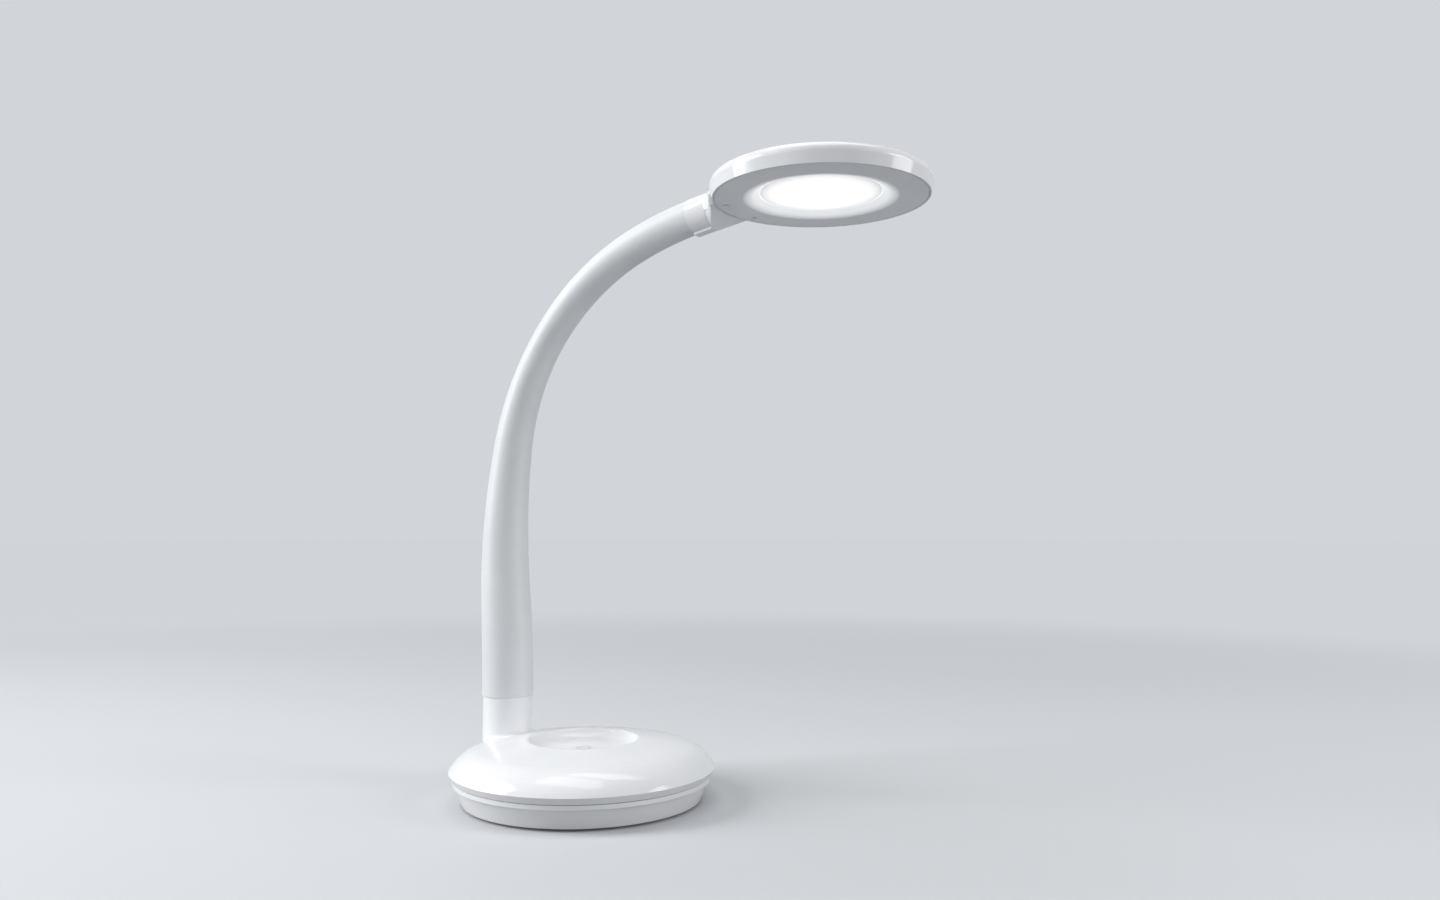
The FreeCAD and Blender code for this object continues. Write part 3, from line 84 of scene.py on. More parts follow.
def calc(tree, place, operation, first, second=None, third=None):
    node = addNode(tree, "ShaderNodeMath", place, operation=operation)
    for socket, value in zip(node.inputs, (first, second, third)):
        feed(tree, socket, value)
    return node.outputs[0]


def span(tree, place, value, low, high, newLow, newHigh):
    node = addNode(tree, "ShaderNodeMapRange", place, clamp=True)
    for name, part in (("Value", value), ("From Min", low), ("From Max", high),
                       ("To Min", newLow), ("To Max", newHigh)):
        feed(tree, node.inputs[name], part)
    return node.outputs["Result"]


def mixTone(tree, place, share, first, second):
    node = addNode(tree, "ShaderNodeMix", place, data_type="RGBA")
    feed(tree, node.inputs["Factor"], share)
    feed(tree, node.inputs["A"], first)
    feed(tree, node.inputs["B"], second)
    return node.outputs["Result"]


def spot(tree, place, stretch=(1, 1, 1)):  # object coordinates, in metres
    where = addNode(tree, "ShaderNodeTexCoord", place)
    if stretch == (1, 1, 1):
        return where.outputs["Object"]
    scaled = addNode(tree, "ShaderNodeMapping", (place[0] + 180, place[1]))
    scaled.inputs["Scale"].default_value = stretch
    tree.links.new(where.outputs["Object"], scaled.inputs["Vector"])
    return scaled.outputs["Vector"]


def noise(tree, place, where, scale, detail=2.0, roughness=0.5):
    node = addNode(tree, "ShaderNodeTexNoise", place)
    for name, part in (("Vector", where), ("Scale", scale), ("Detail", detail),
                       ("Roughness", roughness)):
        feed(tree, node.inputs[name], part)
    return node.outputs["Fac"]


def cells(tree, place, where, scale, feature="F1"):
    node = addNode(tree, "ShaderNodeTexVoronoi", place, feature=feature)
    feed(tree, node.inputs["Vector"], where)
    feed(tree, node.inputs["Scale"], scale)
    return node.outputs["Distance"]


# Shader groups that several materials share

def newGroup(name, inputs, outputs):
    group = bpy.data.node_groups.new(name, "ShaderNodeTree")
    for label, value in inputs:
        kind = "NodeSocketColor" if isinstance(value, tuple) else "NodeSocketFloat"
        group.interface.new_socket(label, in_out="INPUT", socket_type=kind).default_value = value
    for label, kind in outputs:
        group.interface.new_socket(label, in_out="OUTPUT", socket_type=kind)
    start = addNode(group, "NodeGroupInput", (-900, 0))
    end = addNode(group, "NodeGroupOutput", (900, 0))
    return group, start.outputs, end.inputs


mouldSkinShape = {
    "fineScale": 3.1, "fineShare": 0.35, "rippleLevel": 0.74, "cloudFrom": (0.35, 0.68),
}


def mouldSkinGroup():  # the ripple and faint clouding of a moulded surface
    shape = mouldSkinShape
    group, given, made = newGroup(
        "Mould skin",
        [("Ripple Scale", 700.0), ("Cloud Scale", 28.0)],
        [("Ripple", "NodeSocketFloat"), ("Cloud", "NodeSocketFloat")])
    where = spot(group, (-700, 200))
    broad = noise(group, (-400, 250), where, given["Ripple Scale"], detail=1.0)
    fineScale = calc(group, (-600, 0), "MULTIPLY", given["Ripple Scale"], shape["fineScale"])
    fine = noise(group, (-400, 50), where, fineScale, detail=2.0)
    both = calc(group, (-100, 150), "MULTIPLY_ADD", fine, shape["fineShare"], broad)
    ripple = calc(group, (100, 150), "MULTIPLY", both, shape["rippleLevel"])
    group.links.new(ripple, made["Ripple"])
    cloud = noise(group, (-400, -200), where, given["Cloud Scale"], detail=3.0, roughness=0.6)
    group.links.new(span(group, (-100, -200), cloud, *shape["cloudFrom"], 0.0, 1.0), made["Cloud"])
    return group


handledShape = {
    "patchFrom": (0.45, 0.7),
    "swirlStretch": (1, 2.6, 0.7), "swirlScale": 6.0,
    "swirlFrom": (0.3, 0.7), "swirlTo": (0.35, 1.0),
    "upwardFrom": (0.55, 1.0), "specksFrom": (0.5, 0.72),
    "driftScale": 40.0, "driftFrom": (0.3, 0.7), "driftTo": (0.2, 1.0),
}


def handledGroup():  # smudges where hands have been, and dust on what faces up
    shape = handledShape
    group, given, made = newGroup(
        "Handled surface",
        [("Smudge Scale", 60.0), ("Dust Scale", 900.0), ("Dust Amount", 0.3)],
        [("Smudge", "NodeSocketFloat"), ("Dust", "NodeSocketFloat")])
    where = spot(group, (-700, 300))
    patch = noise(group, (-400, 350), where, given["Smudge Scale"], detail=4.0, roughness=0.62)
    stretched = spot(group, (-700, 100), shape["swirlStretch"])
    swirlScale = calc(group, (-600, -20), "MULTIPLY", given["Smudge Scale"], shape["swirlScale"])
    swirl = noise(group, (-400, 150), stretched, swirlScale, detail=3.0)
    smudge = calc(group, (-80, 250), "MULTIPLY",
                  span(group, (-240, 350), patch, *shape["patchFrom"], 0.0, 1.0),
                  span(group, (-240, 150), swirl, *shape["swirlFrom"], *shape["swirlTo"]))
    group.links.new(smudge, made["Smudge"])
    facing = addNode(group, "ShaderNodeNewGeometry", (-700, -150))
    parts = addNode(group, "ShaderNodeSeparateXYZ", (-500, -150))
    group.links.new(facing.outputs["Normal"], parts.inputs[0])
    upward = span(group, (-300, -150), parts.outputs["Z"], *shape["upwardFrom"], 0.0, 1.0)
    specks = noise(group, (-400, -350), where, given["Dust Scale"], detail=2.0, roughness=0.7)
    specks = span(group, (-240, -350), specks, *shape["specksFrom"], 0.0, 1.0)
    drift = noise(group, (-400, -550), where, shape["driftScale"], detail=2.0)
    drift = span(group, (-240, -550), drift, *shape["driftFrom"], *shape["driftTo"])
    dust = calc(group, (0, -250), "MULTIPLY", upward, specks)
    dust = calc(group, (100, -350), "MULTIPLY", dust, drift)
    group.links.new(calc(group, (300, -350), "MULTIPLY", dust, given["Dust Amount"]), made["Dust"])
    return group


softEdgeShape = {"samples": 4, "edgeFrom": (0.82, 0.995)}


def softEdgeGroup():  # rounds sharp corners, and says where the rounding is
    group, given, made = newGroup(
        "Soft edges",
        [("Radius", 0.0003)],
        [("Edge", "NodeSocketFloat"), ("Normal", "NodeSocketVector")])
    rounding = addNode(group, "ShaderNodeBevel", (-500, 100), samples=softEdgeShape["samples"])
    group.links.new(given["Radius"], rounding.inputs["Radius"])
    facing = addNode(group, "ShaderNodeNewGeometry", (-500, -150))
    against = addNode(group, "ShaderNodeVectorMath", (-200, 0), operation="DOT_PRODUCT")
    group.links.new(rounding.outputs["Normal"], against.inputs[0])
    group.links.new(facing.outputs["Normal"], against.inputs[1])
    edge = span(group, (100, 0), against.outputs["Value"], *softEdgeShape["edgeFrom"], 1.0, 0.0)
    group.links.new(edge, made["Edge"])
    group.links.new(rounding.outputs["Normal"], made["Normal"])
    return group


drawnMetalShape = {
    "lineStretch": (0.04, 0.04, 1), "pitShare": 0.25, "lineLevel": 0.8, "stainFrom": (0.42, 0.72),
}


def drawnMetalGroup():  # fine lines left by drawing, turning or rolling
    shape = drawnMetalShape
    group, given, made = newGroup(
        "Drawn metal",
        [("Line Scale", 1200.0), ("Stain Scale", 90.0)],
        [("Lines", "NodeSocketFloat"), ("Stain", "NodeSocketFloat")])
    lines = noise(group, (-300, 150), spot(group, (-700, 200), shape["lineStretch"]),
                  given["Line Scale"], detail=3.0, roughness=0.65)
    pits = cells(group, (-300, -50), spot(group, (-700, 0)), given["Line Scale"])
    both = calc(group, (0, 100), "MULTIPLY_ADD", pits, shape["pitShare"], lines)
    both = calc(group, (200, 100), "MULTIPLY", both, shape["lineLevel"])
    group.links.new(both, made["Lines"])
    stain = noise(group, (-300, -250), spot(group, (-700, -250)), given["Stain Scale"],
                  detail=5.0, roughness=0.65)
    group.links.new(span(group, (0, -250), stain, *shape["stainFrom"], 0.0, 1.0), made["Stain"])
    return group


cellSkinShape = {
    "largeScale": 0.37, "largeShare": 0.5, "cellsFrom": (0.1, 1.1), "patchFrom": (0.35, 0.65),
}


def cellSkinGroup():  # closed cells of foam, or the grain of a casting
    shape = cellSkinShape
    group, given, made = newGroup(
        "Cell skin",
        [("Cell Scale", 1600.0), ("Patch Scale", 70.0)],
        [("Cells", "NodeSocketFloat"), ("Patch", "NodeSocketFloat")])
    where = spot(group, (-700, 100))
    small = cells(group, (-400, 200), where, given["Cell Scale"])
    largeScale = calc(group, (-560, 0), "MULTIPLY", given["Cell Scale"], shape["largeScale"])
    large = cells(group, (-400, 0), where, largeScale)
    both = calc(group, (-100, 100), "MULTIPLY_ADD", large, shape["largeShare"], small)
    group.links.new(span(group, (100, 100), both, *shape["cellsFrom"], 0.0, 1.0), made["Cells"])
    patch = noise(group, (-400, -250), where, given["Patch Scale"], detail=3.0)
    group.links.new(span(group, (-100, -250), patch, *shape["patchFrom"], 0.0, 1.0), made["Patch"])
    return group


mouldSkin = mouldSkinGroup()
handled = handledGroup()
softEdges = softEdgeGroup()
drawnMetal = drawnMetalGroup()
cellSkin = cellSkinGroup()
print("shader groups ready")


# Materials

def placeGroup(tree, group, place, **values):
    node = addNode(tree, "ShaderNodeGroup", place, node_tree=group)
    for name, value in values.items():
        node.inputs[name.replace("_", " ")].default_value = value
    return node.outputs


def newMaterial(name, fixed):  # fixed: what is the same all over the surface
    material = bpy.data.materials.new(name)
    material.use_nodes = True
    tree = material.node_tree
    tree.nodes.clear()
    shader = addNode(tree, "ShaderNodeBsdfPrincipled", (600, 0))
    output = addNode(tree, "ShaderNodeOutputMaterial", (900, 0))
    tree.links.new(shader.outputs[0], output.inputs["Surface"])
    for label, value in fixed.items():
        shader.inputs[label].default_value = value
    return material, tree, shader.inputs


def relief(tree, shader, height, depth, under=None):  # depth in metres
    bump = addNode(tree, "ShaderNodeBump", (350, -400))
    bump.inputs["Strength"].default_value = 1.0
    bump.inputs["Distance"].default_value = depth
    feed(tree, bump.inputs["Height"], height)
    if under is not None:
        tree.links.new(under, bump.inputs["Normal"])
    tree.links.new(bump.outputs["Normal"], shader["Normal"])


def axisReach(tree, place, centre):  # distance from the upright line through a point
    left, top = place
    vector = addNode(tree, "ShaderNodeTexCoord", place).outputs["Object"]
    for operation, value in (("SUBTRACT", centre), ("MULTIPLY", (1, 1, 0))):
        left += 200
        step = addNode(tree, "ShaderNodeVectorMath", (left, top), operation=operation)
        tree.links.new(vector, step.inputs[0])
        step.inputs[1].default_value = value
        vector = step.outputs[0]
    far = addNode(tree, "ShaderNodeVectorMath", (left + 200, top), operation="LENGTH")
    tree.links.new(vector, far.inputs[0])
    return far.outputs["Value"]


def mouldedMaterial(name, look):
    material, tree, shader = newMaterial(name, look["fixed"])
    skin = placeGroup(tree, mouldSkin, (-500, 200), Ripple_Scale=look["rippleScale"],
                      Cloud_Scale=look["cloudScale"])
    marks = placeGroup(tree, handled, (-500, -50), Dust_Amount=look["dust"])
    edges = placeGroup(tree, softEdges, (-500, -300), Radius=look["edgeRadius"])
    clouding = calc(tree, (-350, 300), "MULTIPLY", skin["Cloud"], look["clouding"])
    colour = mixTone(tree, (-200, 300), clouding, look["colour"], look["clouded"])
    lift = calc(tree, (-150, 150), "MULTIPLY", edges["Edge"], look["edgeLift"])
    colour = mixTone(tree, (0, 300), lift, colour, look["edgeColour"])
    colour = mixTone(tree, (200, 300), marks["Dust"], colour, look["dustColour"])
    tree.links.new(colour, shader["Base Color"])
    wear = calc(tree, (-200, -100), "MULTIPLY", marks["Smudge"], look["smudge"])
    wear = calc(tree, (-50, -100), "MAXIMUM", wear, marks["Dust"])
    rough = span(tree, (150, -100), wear, 0.0, 1.0, *look["roughness"])
    tree.links.new(rough, shader["Roughness"])
    relief(tree, shader, skin["Ripple"], look["rippleDepth"], edges["Normal"])
    if "paintedSpillLight" in look:  # painted light: glow from the opal cover, painted as emission on the slope around it
        paintedSpillLight = look["paintedSpillLight"]
        reach = axisReach(tree, (-1300, -600), paintedSpillLight["centre"])
        share = span(tree, (-500, -600), reach, paintedSpillLight["inner"], paintedSpillLight["outer"], 1.0, 0.0)
        share = calc(tree, (-300, -600), "POWER", share, paintedSpillLight["fall"])
        tree.links.new(mixTone(tree, (300, -600), share, tone(0, 0, 0), paintedSpillLight["colour"]),
                       shader["Emission Color"])
    return material


metalLines = (0.2, 0.9)  # the part of the line mask that changes the roughness


def metalMaterial(name, look):
    material, tree, shader = newMaterial(name, {"Metallic": 1.0})
    lines = placeGroup(tree, drawnMetal, (-500, 200), Line_Scale=look["lineScale"])
    edges = placeGroup(tree, softEdges, (-500, -300), Radius=look["edgeRadius"])
    staining = calc(tree, (-300, 300), "MULTIPLY", lines["Stain"], look["staining"])
    colour = mixTone(tree, (-100, 300), staining, look["colour"], look["stain"])
    colour = mixTone(tree, (100, 300), edges["Edge"], colour, look["edgeColour"])
    tree.links.new(colour, shader["Base Color"])
    rough = span(tree, (100, 0), lines["Lines"], *metalLines, *look["roughness"])
    tree.links.new(rough, shader["Roughness"])
    relief(tree, shader, lines["Lines"], look["lineDepth"], edges["Normal"])
    return material


def cellMaterial(name, look):
    material, tree, shader = newMaterial(name, look["fixed"])
    skin = placeGroup(tree, cellSkin, (-500, 200), Cell_Scale=look["cellScale"])
    edges = placeGroup(tree, softEdges, (-500, -300), Radius=look["edgeRadius"])
    colour = mixTone(tree, (-100, 300), skin["Patch"], look["colour"], look["patch"])
    pale = calc(tree, (-100, 100), "MULTIPLY", skin["Cells"], look["cellTone"])
    colour = mixTone(tree, (100, 300), pale, colour, look["cellColour"])
    tree.links.new(colour, shader["Base Color"])
    rough = span(tree, (100, 0), skin["Cells"], 0.0, 1.0, *look["roughness"])
    tree.links.new(rough, shader["Roughness"])
    relief(tree, shader, skin["Cells"], look["cellDepth"], edges["Normal"])
    return material


whiteGloss = {  # polished white cover moulding
    "colour": tone(240, 241, 243), "clouded": tone(234, 236, 239),
    "edgeColour": tone(247, 248, 249), "dustColour": tone(205, 202, 196),
    "clouding": 0.5, "edgeLift": 0.5, "dust": 0.10, "smudge": 0.55,
    "rippleScale": 260.0, "rippleDepth": 0.0000035, "cloudScale": 26.0,
    "edgeRadius": 0.00022, "roughness": (0.09, 0.26),
    "fixed": {"IOR": 1.52},
}
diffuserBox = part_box("diffuser")
diffuserMiddle = (diffuserBox[0] + diffuserBox[1]) / 2
whiteSatin = {  # the head's lower plate
    "colour": tone(239, 240, 242), "clouded": tone(233, 235, 237),
    "edgeColour": tone(243, 244, 245), "dustColour": tone(205, 202, 196),
    "clouding": 0.5, "edgeLift": 0.5, "dust": 0.05, "smudge": 0.5,
    "rippleScale": 900.0, "rippleDepth": 0.000006, "cloudScale": 30.0,
    "edgeRadius": 0.00022, "roughness": (0.3, 0.46),
    # the emission set here and below is painted light from the opal cover on the slope around it
    "fixed": {"IOR": 1.5, "Specular IOR Level": 0.55, "Emission Strength": 1.0},
    "paintedSpillLight": {"centre": tuple(diffuserMiddle), "inner": 34.5 * mm, "outer": 40.4 * mm, "fall": 0.8,
              "colour": tone(178, 179, 180)},
}
sleeveWhite = {  # soft-touch sleeve over the arm
    "colour": tone(225, 227, 229), "clouded": tone(217, 219, 222),
    "edgeColour": tone(232, 233, 235), "dustColour": tone(206, 203, 198),
    "clouding": 0.6, "edgeLift": 0.4, "dust": 0.08, "smudge": 0.7,
    "rippleScale": 1500.0, "rippleDepth": 0.000012, "cloudScale": 34.0,
    "edgeRadius": 0.0002, "roughness": (0.4, 0.6),
    "fixed": {"IOR": 1.45, "Specular IOR Level": 0.45, "Sheen Weight": 0.06,
              "Sheen Roughness": 0.4},
}
inletBlack = {  # glass-filled nylon of the inlet
    "colour": tone(30, 31, 33), "clouded": tone(40, 41, 43),
    "edgeColour": tone(58, 59, 61), "dustColour": tone(120, 117, 112),
    "clouding": 0.6, "edgeLift": 0.5, "dust": 0.2, "smudge": 0.5,
    "rippleScale": 1800.0, "rippleDepth": 0.00002, "cloudScale": 60.0,
    "edgeRadius": 0.00015, "roughness": (0.42, 0.62),
    "fixed": {"IOR": 1.53},
}
boardBlack = {  # epoxy bodies of the board's parts
    "colour": tone(34, 34, 36), "clouded": tone(44, 44, 45),
    "edgeColour": tone(66, 66, 67), "dustColour": tone(130, 128, 122),
    "clouding": 0.7, "edgeLift": 0.5, "dust": 0.2, "smudge": 0.3,
    "rippleScale": 2400.0, "rippleDepth": 0.00001, "cloudScale": 200.0,
    "edgeRadius": 0.0001, "roughness": (0.36, 0.55),
    "fixed": {"IOR": 1.55},
}
leadGrey = {  # insulation of the inner leads
    "colour": tone(206, 207, 209), "clouded": tone(196, 197, 199),
    "edgeColour": tone(214, 215, 216), "dustColour": tone(180, 178, 172),
    "clouding": 0.6, "edgeLift": 0.2, "dust": 0.1, "smudge": 0.4,
    "rippleScale": 1400.0, "rippleDepth": 0.00001, "cloudScale": 120.0,
    "edgeRadius": 0.00005, "roughness": (0.38, 0.55),
    "fixed": {"IOR": 1.53, "Subsurface Weight": 0.05},
}
steelCore = {  # wound steel of the gooseneck's core
    "colour": tone(158, 160, 163), "stain": tone(104, 103, 101), "edgeColour": tone(190, 191, 193),
    "staining": 0.6, "lineScale": 900.0, "lineDepth": 0.00004, "edgeRadius": 0.0001,
    "roughness": (0.28, 0.5),
}
screwSteel = {  # bright plated screws
    "colour": tone(196, 197, 199), "stain": tone(150, 148, 145), "edgeColour": tone(226, 227, 228),
    "staining": 0.5, "lineScale": 2600.0, "lineDepth": 0.000008, "edgeRadius": 0.00012,
    "roughness": (0.16, 0.34),
}
boardMetal = {  # aluminium of the light board and its spreader
    "colour": tone(206, 207, 209), "stain": tone(176, 177, 180), "edgeColour": tone(224, 225, 226),
    "staining": 0.5, "lineScale": 1600.0, "lineDepth": 0.000006, "edgeRadius": 0.0001,
    "roughness": (0.26, 0.44),
}
touchCopper = {  # touch plate and its contact
    "colour": tone(202, 132, 98), "stain": tone(140, 84, 62), "edgeColour": tone(226, 164, 130),
    "staining": 0.7, "lineScale": 1500.0, "lineDepth": 0.000006, "edgeRadius": 0.0001,
    "roughness": (0.22, 0.4),
}
inletBrass = {  # the inlet's pin and the clamp in the neck
    "colour": tone(206, 178, 112), "stain": tone(150, 122, 70), "edgeColour": tone(232, 208, 150),
    "staining": 0.5, "lineScale": 2600.0, "lineDepth": 0.000005, "edgeRadius": 0.0001,
    "roughness": (0.18, 0.34),
}
castIron = {  # ballast, raw casting with a thin oil film
    "colour": tone(62, 61, 60), "patch": tone(82, 74, 68), "cellColour": tone(104, 99, 94),
    "cellTone": 0.5, "cellScale": 900.0, "cellDepth": 0.00012, "edgeRadius": 0.0004,
    "roughness": (0.45, 0.7), "fixed": {"Metallic": 0.7},
}
footFoam = {  # closed-cell foam under the base
    "colour": tone(50, 51, 53), "patch": tone(60, 61, 63), "cellColour": tone(84, 85, 87),
    "cellTone": 0.55, "cellScale": 1700.0, "cellDepth": 0.00014, "edgeRadius": 0.0003,
    "roughness": (0.78, 0.95), "fixed": {"IOR": 1.4},
}


def boardMaterial(name, look):  # solder mask over copper tracks and a glass weave
    material, tree, shader = newMaterial(name, look["fixed"])
    where = spot(tree, (-1100, 100))
    weave = addNode(tree, "ShaderNodeTexBrick", (-800, -200), offset=0.0)
    feed(tree, weave.inputs["Vector"], where)
    weave.inputs["Scale"].default_value = look["weaveScale"]
    weave.inputs["Mortar Size"].default_value = look["weaveGap"]
    weave.inputs["Brick Width"].default_value = look["weaveWidth"]
    threads = weave.outputs["Fac"]
    tracks = cells(tree, (-800, 200), where, look["trackScale"], "DISTANCE_TO_EDGE")
    track = span(tree, (-500, 200), tracks, *look["trackFrom"], 1.0, 0.0)
    edges = placeGroup(tree, softEdges, (-500, -450), Radius=look["edgeRadius"])
    colour = mixTone(tree, (-250, 300), track, look["colour"], look["trackColour"])
    weaving = calc(tree, (-250, 50), "MULTIPLY", threads, look["weaveShare"])
    colour = mixTone(tree, (-50, 300), weaving, colour, look["weaveColour"])
    colour = mixTone(tree, (150, 300), edges["Edge"], colour, look["edgeColour"])
    tree.links.new(colour, shader["Base Color"])
    rough = span(tree, (150, 0), track, 0.0, 1.0, *look["roughness"])
    tree.links.new(rough, shader["Roughness"])
    height = calc(tree, (100, -200), "MULTIPLY_ADD", threads, look["weaveHeight"], track)
    relief(tree, shader, height, look["depth"], edges["Normal"])
    return material


boardGreen = {  # control board
    "colour": tone(24, 92, 58), "trackColour": tone(44, 122, 78), "weaveColour": tone(30, 100, 64),
    "edgeColour": tone(170, 160, 112), "weaveScale": 900.0, "weaveGap": 0.03,
    "weaveWidth": 0.5, "weaveShare": 0.3, "weaveHeight": -0.2, "trackScale": 260.0,
    "trackFrom": (0.05, 0.08), "edgeRadius": 0.0001, "roughness": (0.32, 0.22),
    "depth": 0.00003, "fixed": {"IOR": 1.5},
}


glowShape = {"rimStart": 0.7, "rimFall": 2.4, "cloudShare": 0.3, "roughness": (0.3, 0.4)}


def glowMaterial(name, look):  # a lit surface, a little dimmer at its rim
    material, tree, shader = newMaterial(name, look["fixed"])
    reach = axisReach(tree, (-1100, 0), look["centre"])
    rimStart = look["radius"] * glowShape["rimStart"]
    rim = span(tree, (-300, 0), reach, rimStart, look["radius"], 0.0, 1.0)
    rim = calc(tree, (-120, 0), "POWER", rim, glowShape["rimFall"])
    skin = placeGroup(tree, mouldSkin, (-500, -300), Ripple_Scale=look["rippleScale"],
                      Cloud_Scale=look["cloudScale"])
    edges = placeGroup(tree, softEdges, (-500, -500), Radius=look["edgeRadius"])
    light = mixTone(tree, (100, 200), rim, look["glow"], look["rimGlow"])
    clouding = calc(tree, (100, -50), "MULTIPLY", skin["Cloud"], glowShape["cloudShare"])
    light = mixTone(tree, (300, 200), clouding, light, look["cloudGlow"])
    tree.links.new(light, shader["Emission Color"])
    colour = mixTone(tree, (300, 0), skin["Cloud"], look["colour"], look["clouded"])
    tree.links.new(colour, shader["Base Color"])
    rough = span(tree, (300, -200), skin["Cloud"], 0.0, 1.0, *glowShape["roughness"])
    tree.links.new(rough, shader["Roughness"])
    relief(tree, shader, skin["Ripple"], look["rippleDepth"], edges["Normal"])
    return material


opalLook = {  # cover over the light, with the light on
    "centre": tuple(diffuserMiddle), "radius": 31.6 * mm,
    "colour": tone(192, 193, 193), "clouded": tone(187, 188, 188),
    "glow": tone(255, 254, 251), "rimGlow": tone(178, 180, 183), "cloudGlow": tone(252, 251, 248),
    "rippleScale": 1200.0, "cloudScale": 60.0, "rippleDepth": 0.000004, "edgeRadius": 0.0002,
    "fixed": {"IOR": 1.49, "Emission Strength": 0.8},
}
chipLook = {  # light-emitting chips behind the cover
    "centre": tuple(diffuserMiddle), "radius": 60 * mm,
    "colour": tone(236, 206, 96), "clouded": tone(226, 190, 70),
    "glow": tone(255, 236, 170), "rimGlow": tone(255, 226, 140), "cloudGlow": tone(255, 240, 190),
    "rippleScale": 2600.0, "cloudScale": 500.0, "rippleDepth": 0.000004, "edgeRadius": 0.0001,
    "fixed": {"IOR": 1.45, "Emission Strength": 1.0},
}

recipes = (
    (mouldedMaterial, {"whiteGloss": whiteGloss, "whiteSatin": whiteSatin,
                       "sleeveWhite": sleeveWhite, "inletBlack": inletBlack,
                       "boardBlack": boardBlack, "leadGrey": leadGrey}),
    (metalMaterial, {"steelCore": steelCore, "screwSteel": screwSteel, "boardMetal": boardMetal,
                     "touchCopper": touchCopper, "inletBrass": inletBrass}),
    (cellMaterial, {"castIron": castIron, "footFoam": footFoam}),
    (boardMaterial, {"boardGreen": boardGreen}),
    (glowMaterial, {"opalGlow": opalLook, "chipGlow": chipLook}),
)
materials = {name: make(name, look) for make, looks in recipes for name, look in looks.items()}
print("materials ready:", len(materials))


# Finish of each CAD node

finishes = {
    "base_cover": "whiteGloss", "base_tray": "whiteGloss", "head_cover": "whiteGloss",
    "neck_cover": "whiteGloss", "head_bezel": "whiteSatin", "diffuser": "opalGlow",
    "led_chips": "chipGlow", "led_board": "boardMetal", "heat_spreader": "boardMetal",
    "ballast_plate": "castIron", "control_board": "boardGreen", "board_parts": "boardBlack",
    "touch_plate": "touchCopper", "touch_contact": "touchCopper", "power_inlet": "inletBlack",
    "inlet_pin": "inletBrass", "arm_anchor": "steelCore", "anchor_nut": "screwSteel",
    "base_screws": "screwSteel", "board_screws": "screwSteel", "led_screws": "screwSteel",
    "head_screws": "screwSteel", "neck_clamp": "inletBrass", "clamp_screw": "screwSteel",
    "supply_lead": "leadGrey", "foot_pad": "footFoam",
}
for number in range(10):
    finishes[f"sleeve_{number}"] = "sleeveWhite"
    finishes[f"core_{number}"] = "steelCore"
    finishes[f"lead_{number}"] = "leadGrey"
for name, piece in nodes.items():
    piece.data.materials.clear()
    piece.data.materials.append(materials[finishes[name]])
print("CAD nodes finished")


# Meshes of the new pieces

def meshObject(name, verts, faces, material, sharp=35):
    mesh = bpy.data.meshes.new(name)
    mesh.from_pydata([tuple(vert) for vert in verts], [], faces)
    mesh.update()
    mesh.shade_smooth()
    mesh.set_sharp_from_angle(angle=math.radians(sharp))
    piece = bpy.data.objects.new(name, mesh)
    bpy.context.scene.collection.objects.link(piece)
    piece.data.materials.append(materials[material])
    return piece


def loopFaces(rings, count, closed):  # quads between rings of the same count
    faces = []
    total = len(rings) if closed else len(rings) - 1
    for index in range(total):
        first, second = rings[index], rings[(index + 1) % len(rings)]
        for step in range(count):
            after = (step + 1) % count
            faces.append((first + step, first + after, second + after, second + step))
    return faces


def capFaces(rings, count, first, last):  # fans from two points to the first and last ring
    faces = []
    for step in range(count):
        after = (step + 1) % count
        faces.append((first, rings[0] + after, rings[0] + step))
        faces.append((last, rings[-1] + step, rings[-1] + after))
    return faces


def around(count):  # the angles of the points on a full circle
    return [2 * math.pi * step / count for step in range(count)]


# Sleeve: one piece for each bend of the arm, from the middle of a link to the next

sleeveSizes = {
    "stem": -58.5, "foot": 53.5,  # where the arm starts, from the base's middle and the table
    "arcs": ((56.0, -4.4), (94.0, 14.2), (150.0, 59.2), (41.3, 11.0)),  # length and turn
    "bends": 9, "footRadius": 15.1, "neckRadius": 9.6, "taperStart": 22.0, "taperLength": 203.0,
    "wall": 2.4, "around": 72, "ringStep": 1.7, "blendInset": 2.2, "spigot": 9.0,
    "lip": 0.6,  # the rounded end, as shares of the lip along and inward
    "rounding": ((0.0, 1.0), (0.08, 0.48), (0.3, 0.14), (0.62, 0.02), (1.0, 0.0)),
}
tiny = 1e-9


def armStation(distance):  # point in metres and lean in radians, along the arm's middle line
    place = Vector((sleeveSizes["stem"], 0, sleeveSizes["foot"]))
    lean, left = 0.0, distance
    for length, turn in sleeveSizes["arcs"]:
        part = min(left, length)
        swept = math.radians(turn) * part / length
        chord = 2 * length / math.radians(turn) * math.sin(swept / 2)
        middle = lean + swept / 2
        place = place + Vector((math.sin(middle), 0, math.cos(middle))) * chord
        lean += swept
        left -= part
        if left <= tiny:
            break
    return place * mm, lean


def sleeveRadius(distance):
    share = (distance - sleeveSizes["taperStart"]) / sleeveSizes["taperLength"]
    share = max(0.0, min(1.0, share))
    foot, neck = sleeveSizes["footRadius"], sleeveSizes["neckRadius"]
    return foot + share * share * (3 - 2 * share) * (neck - foot)


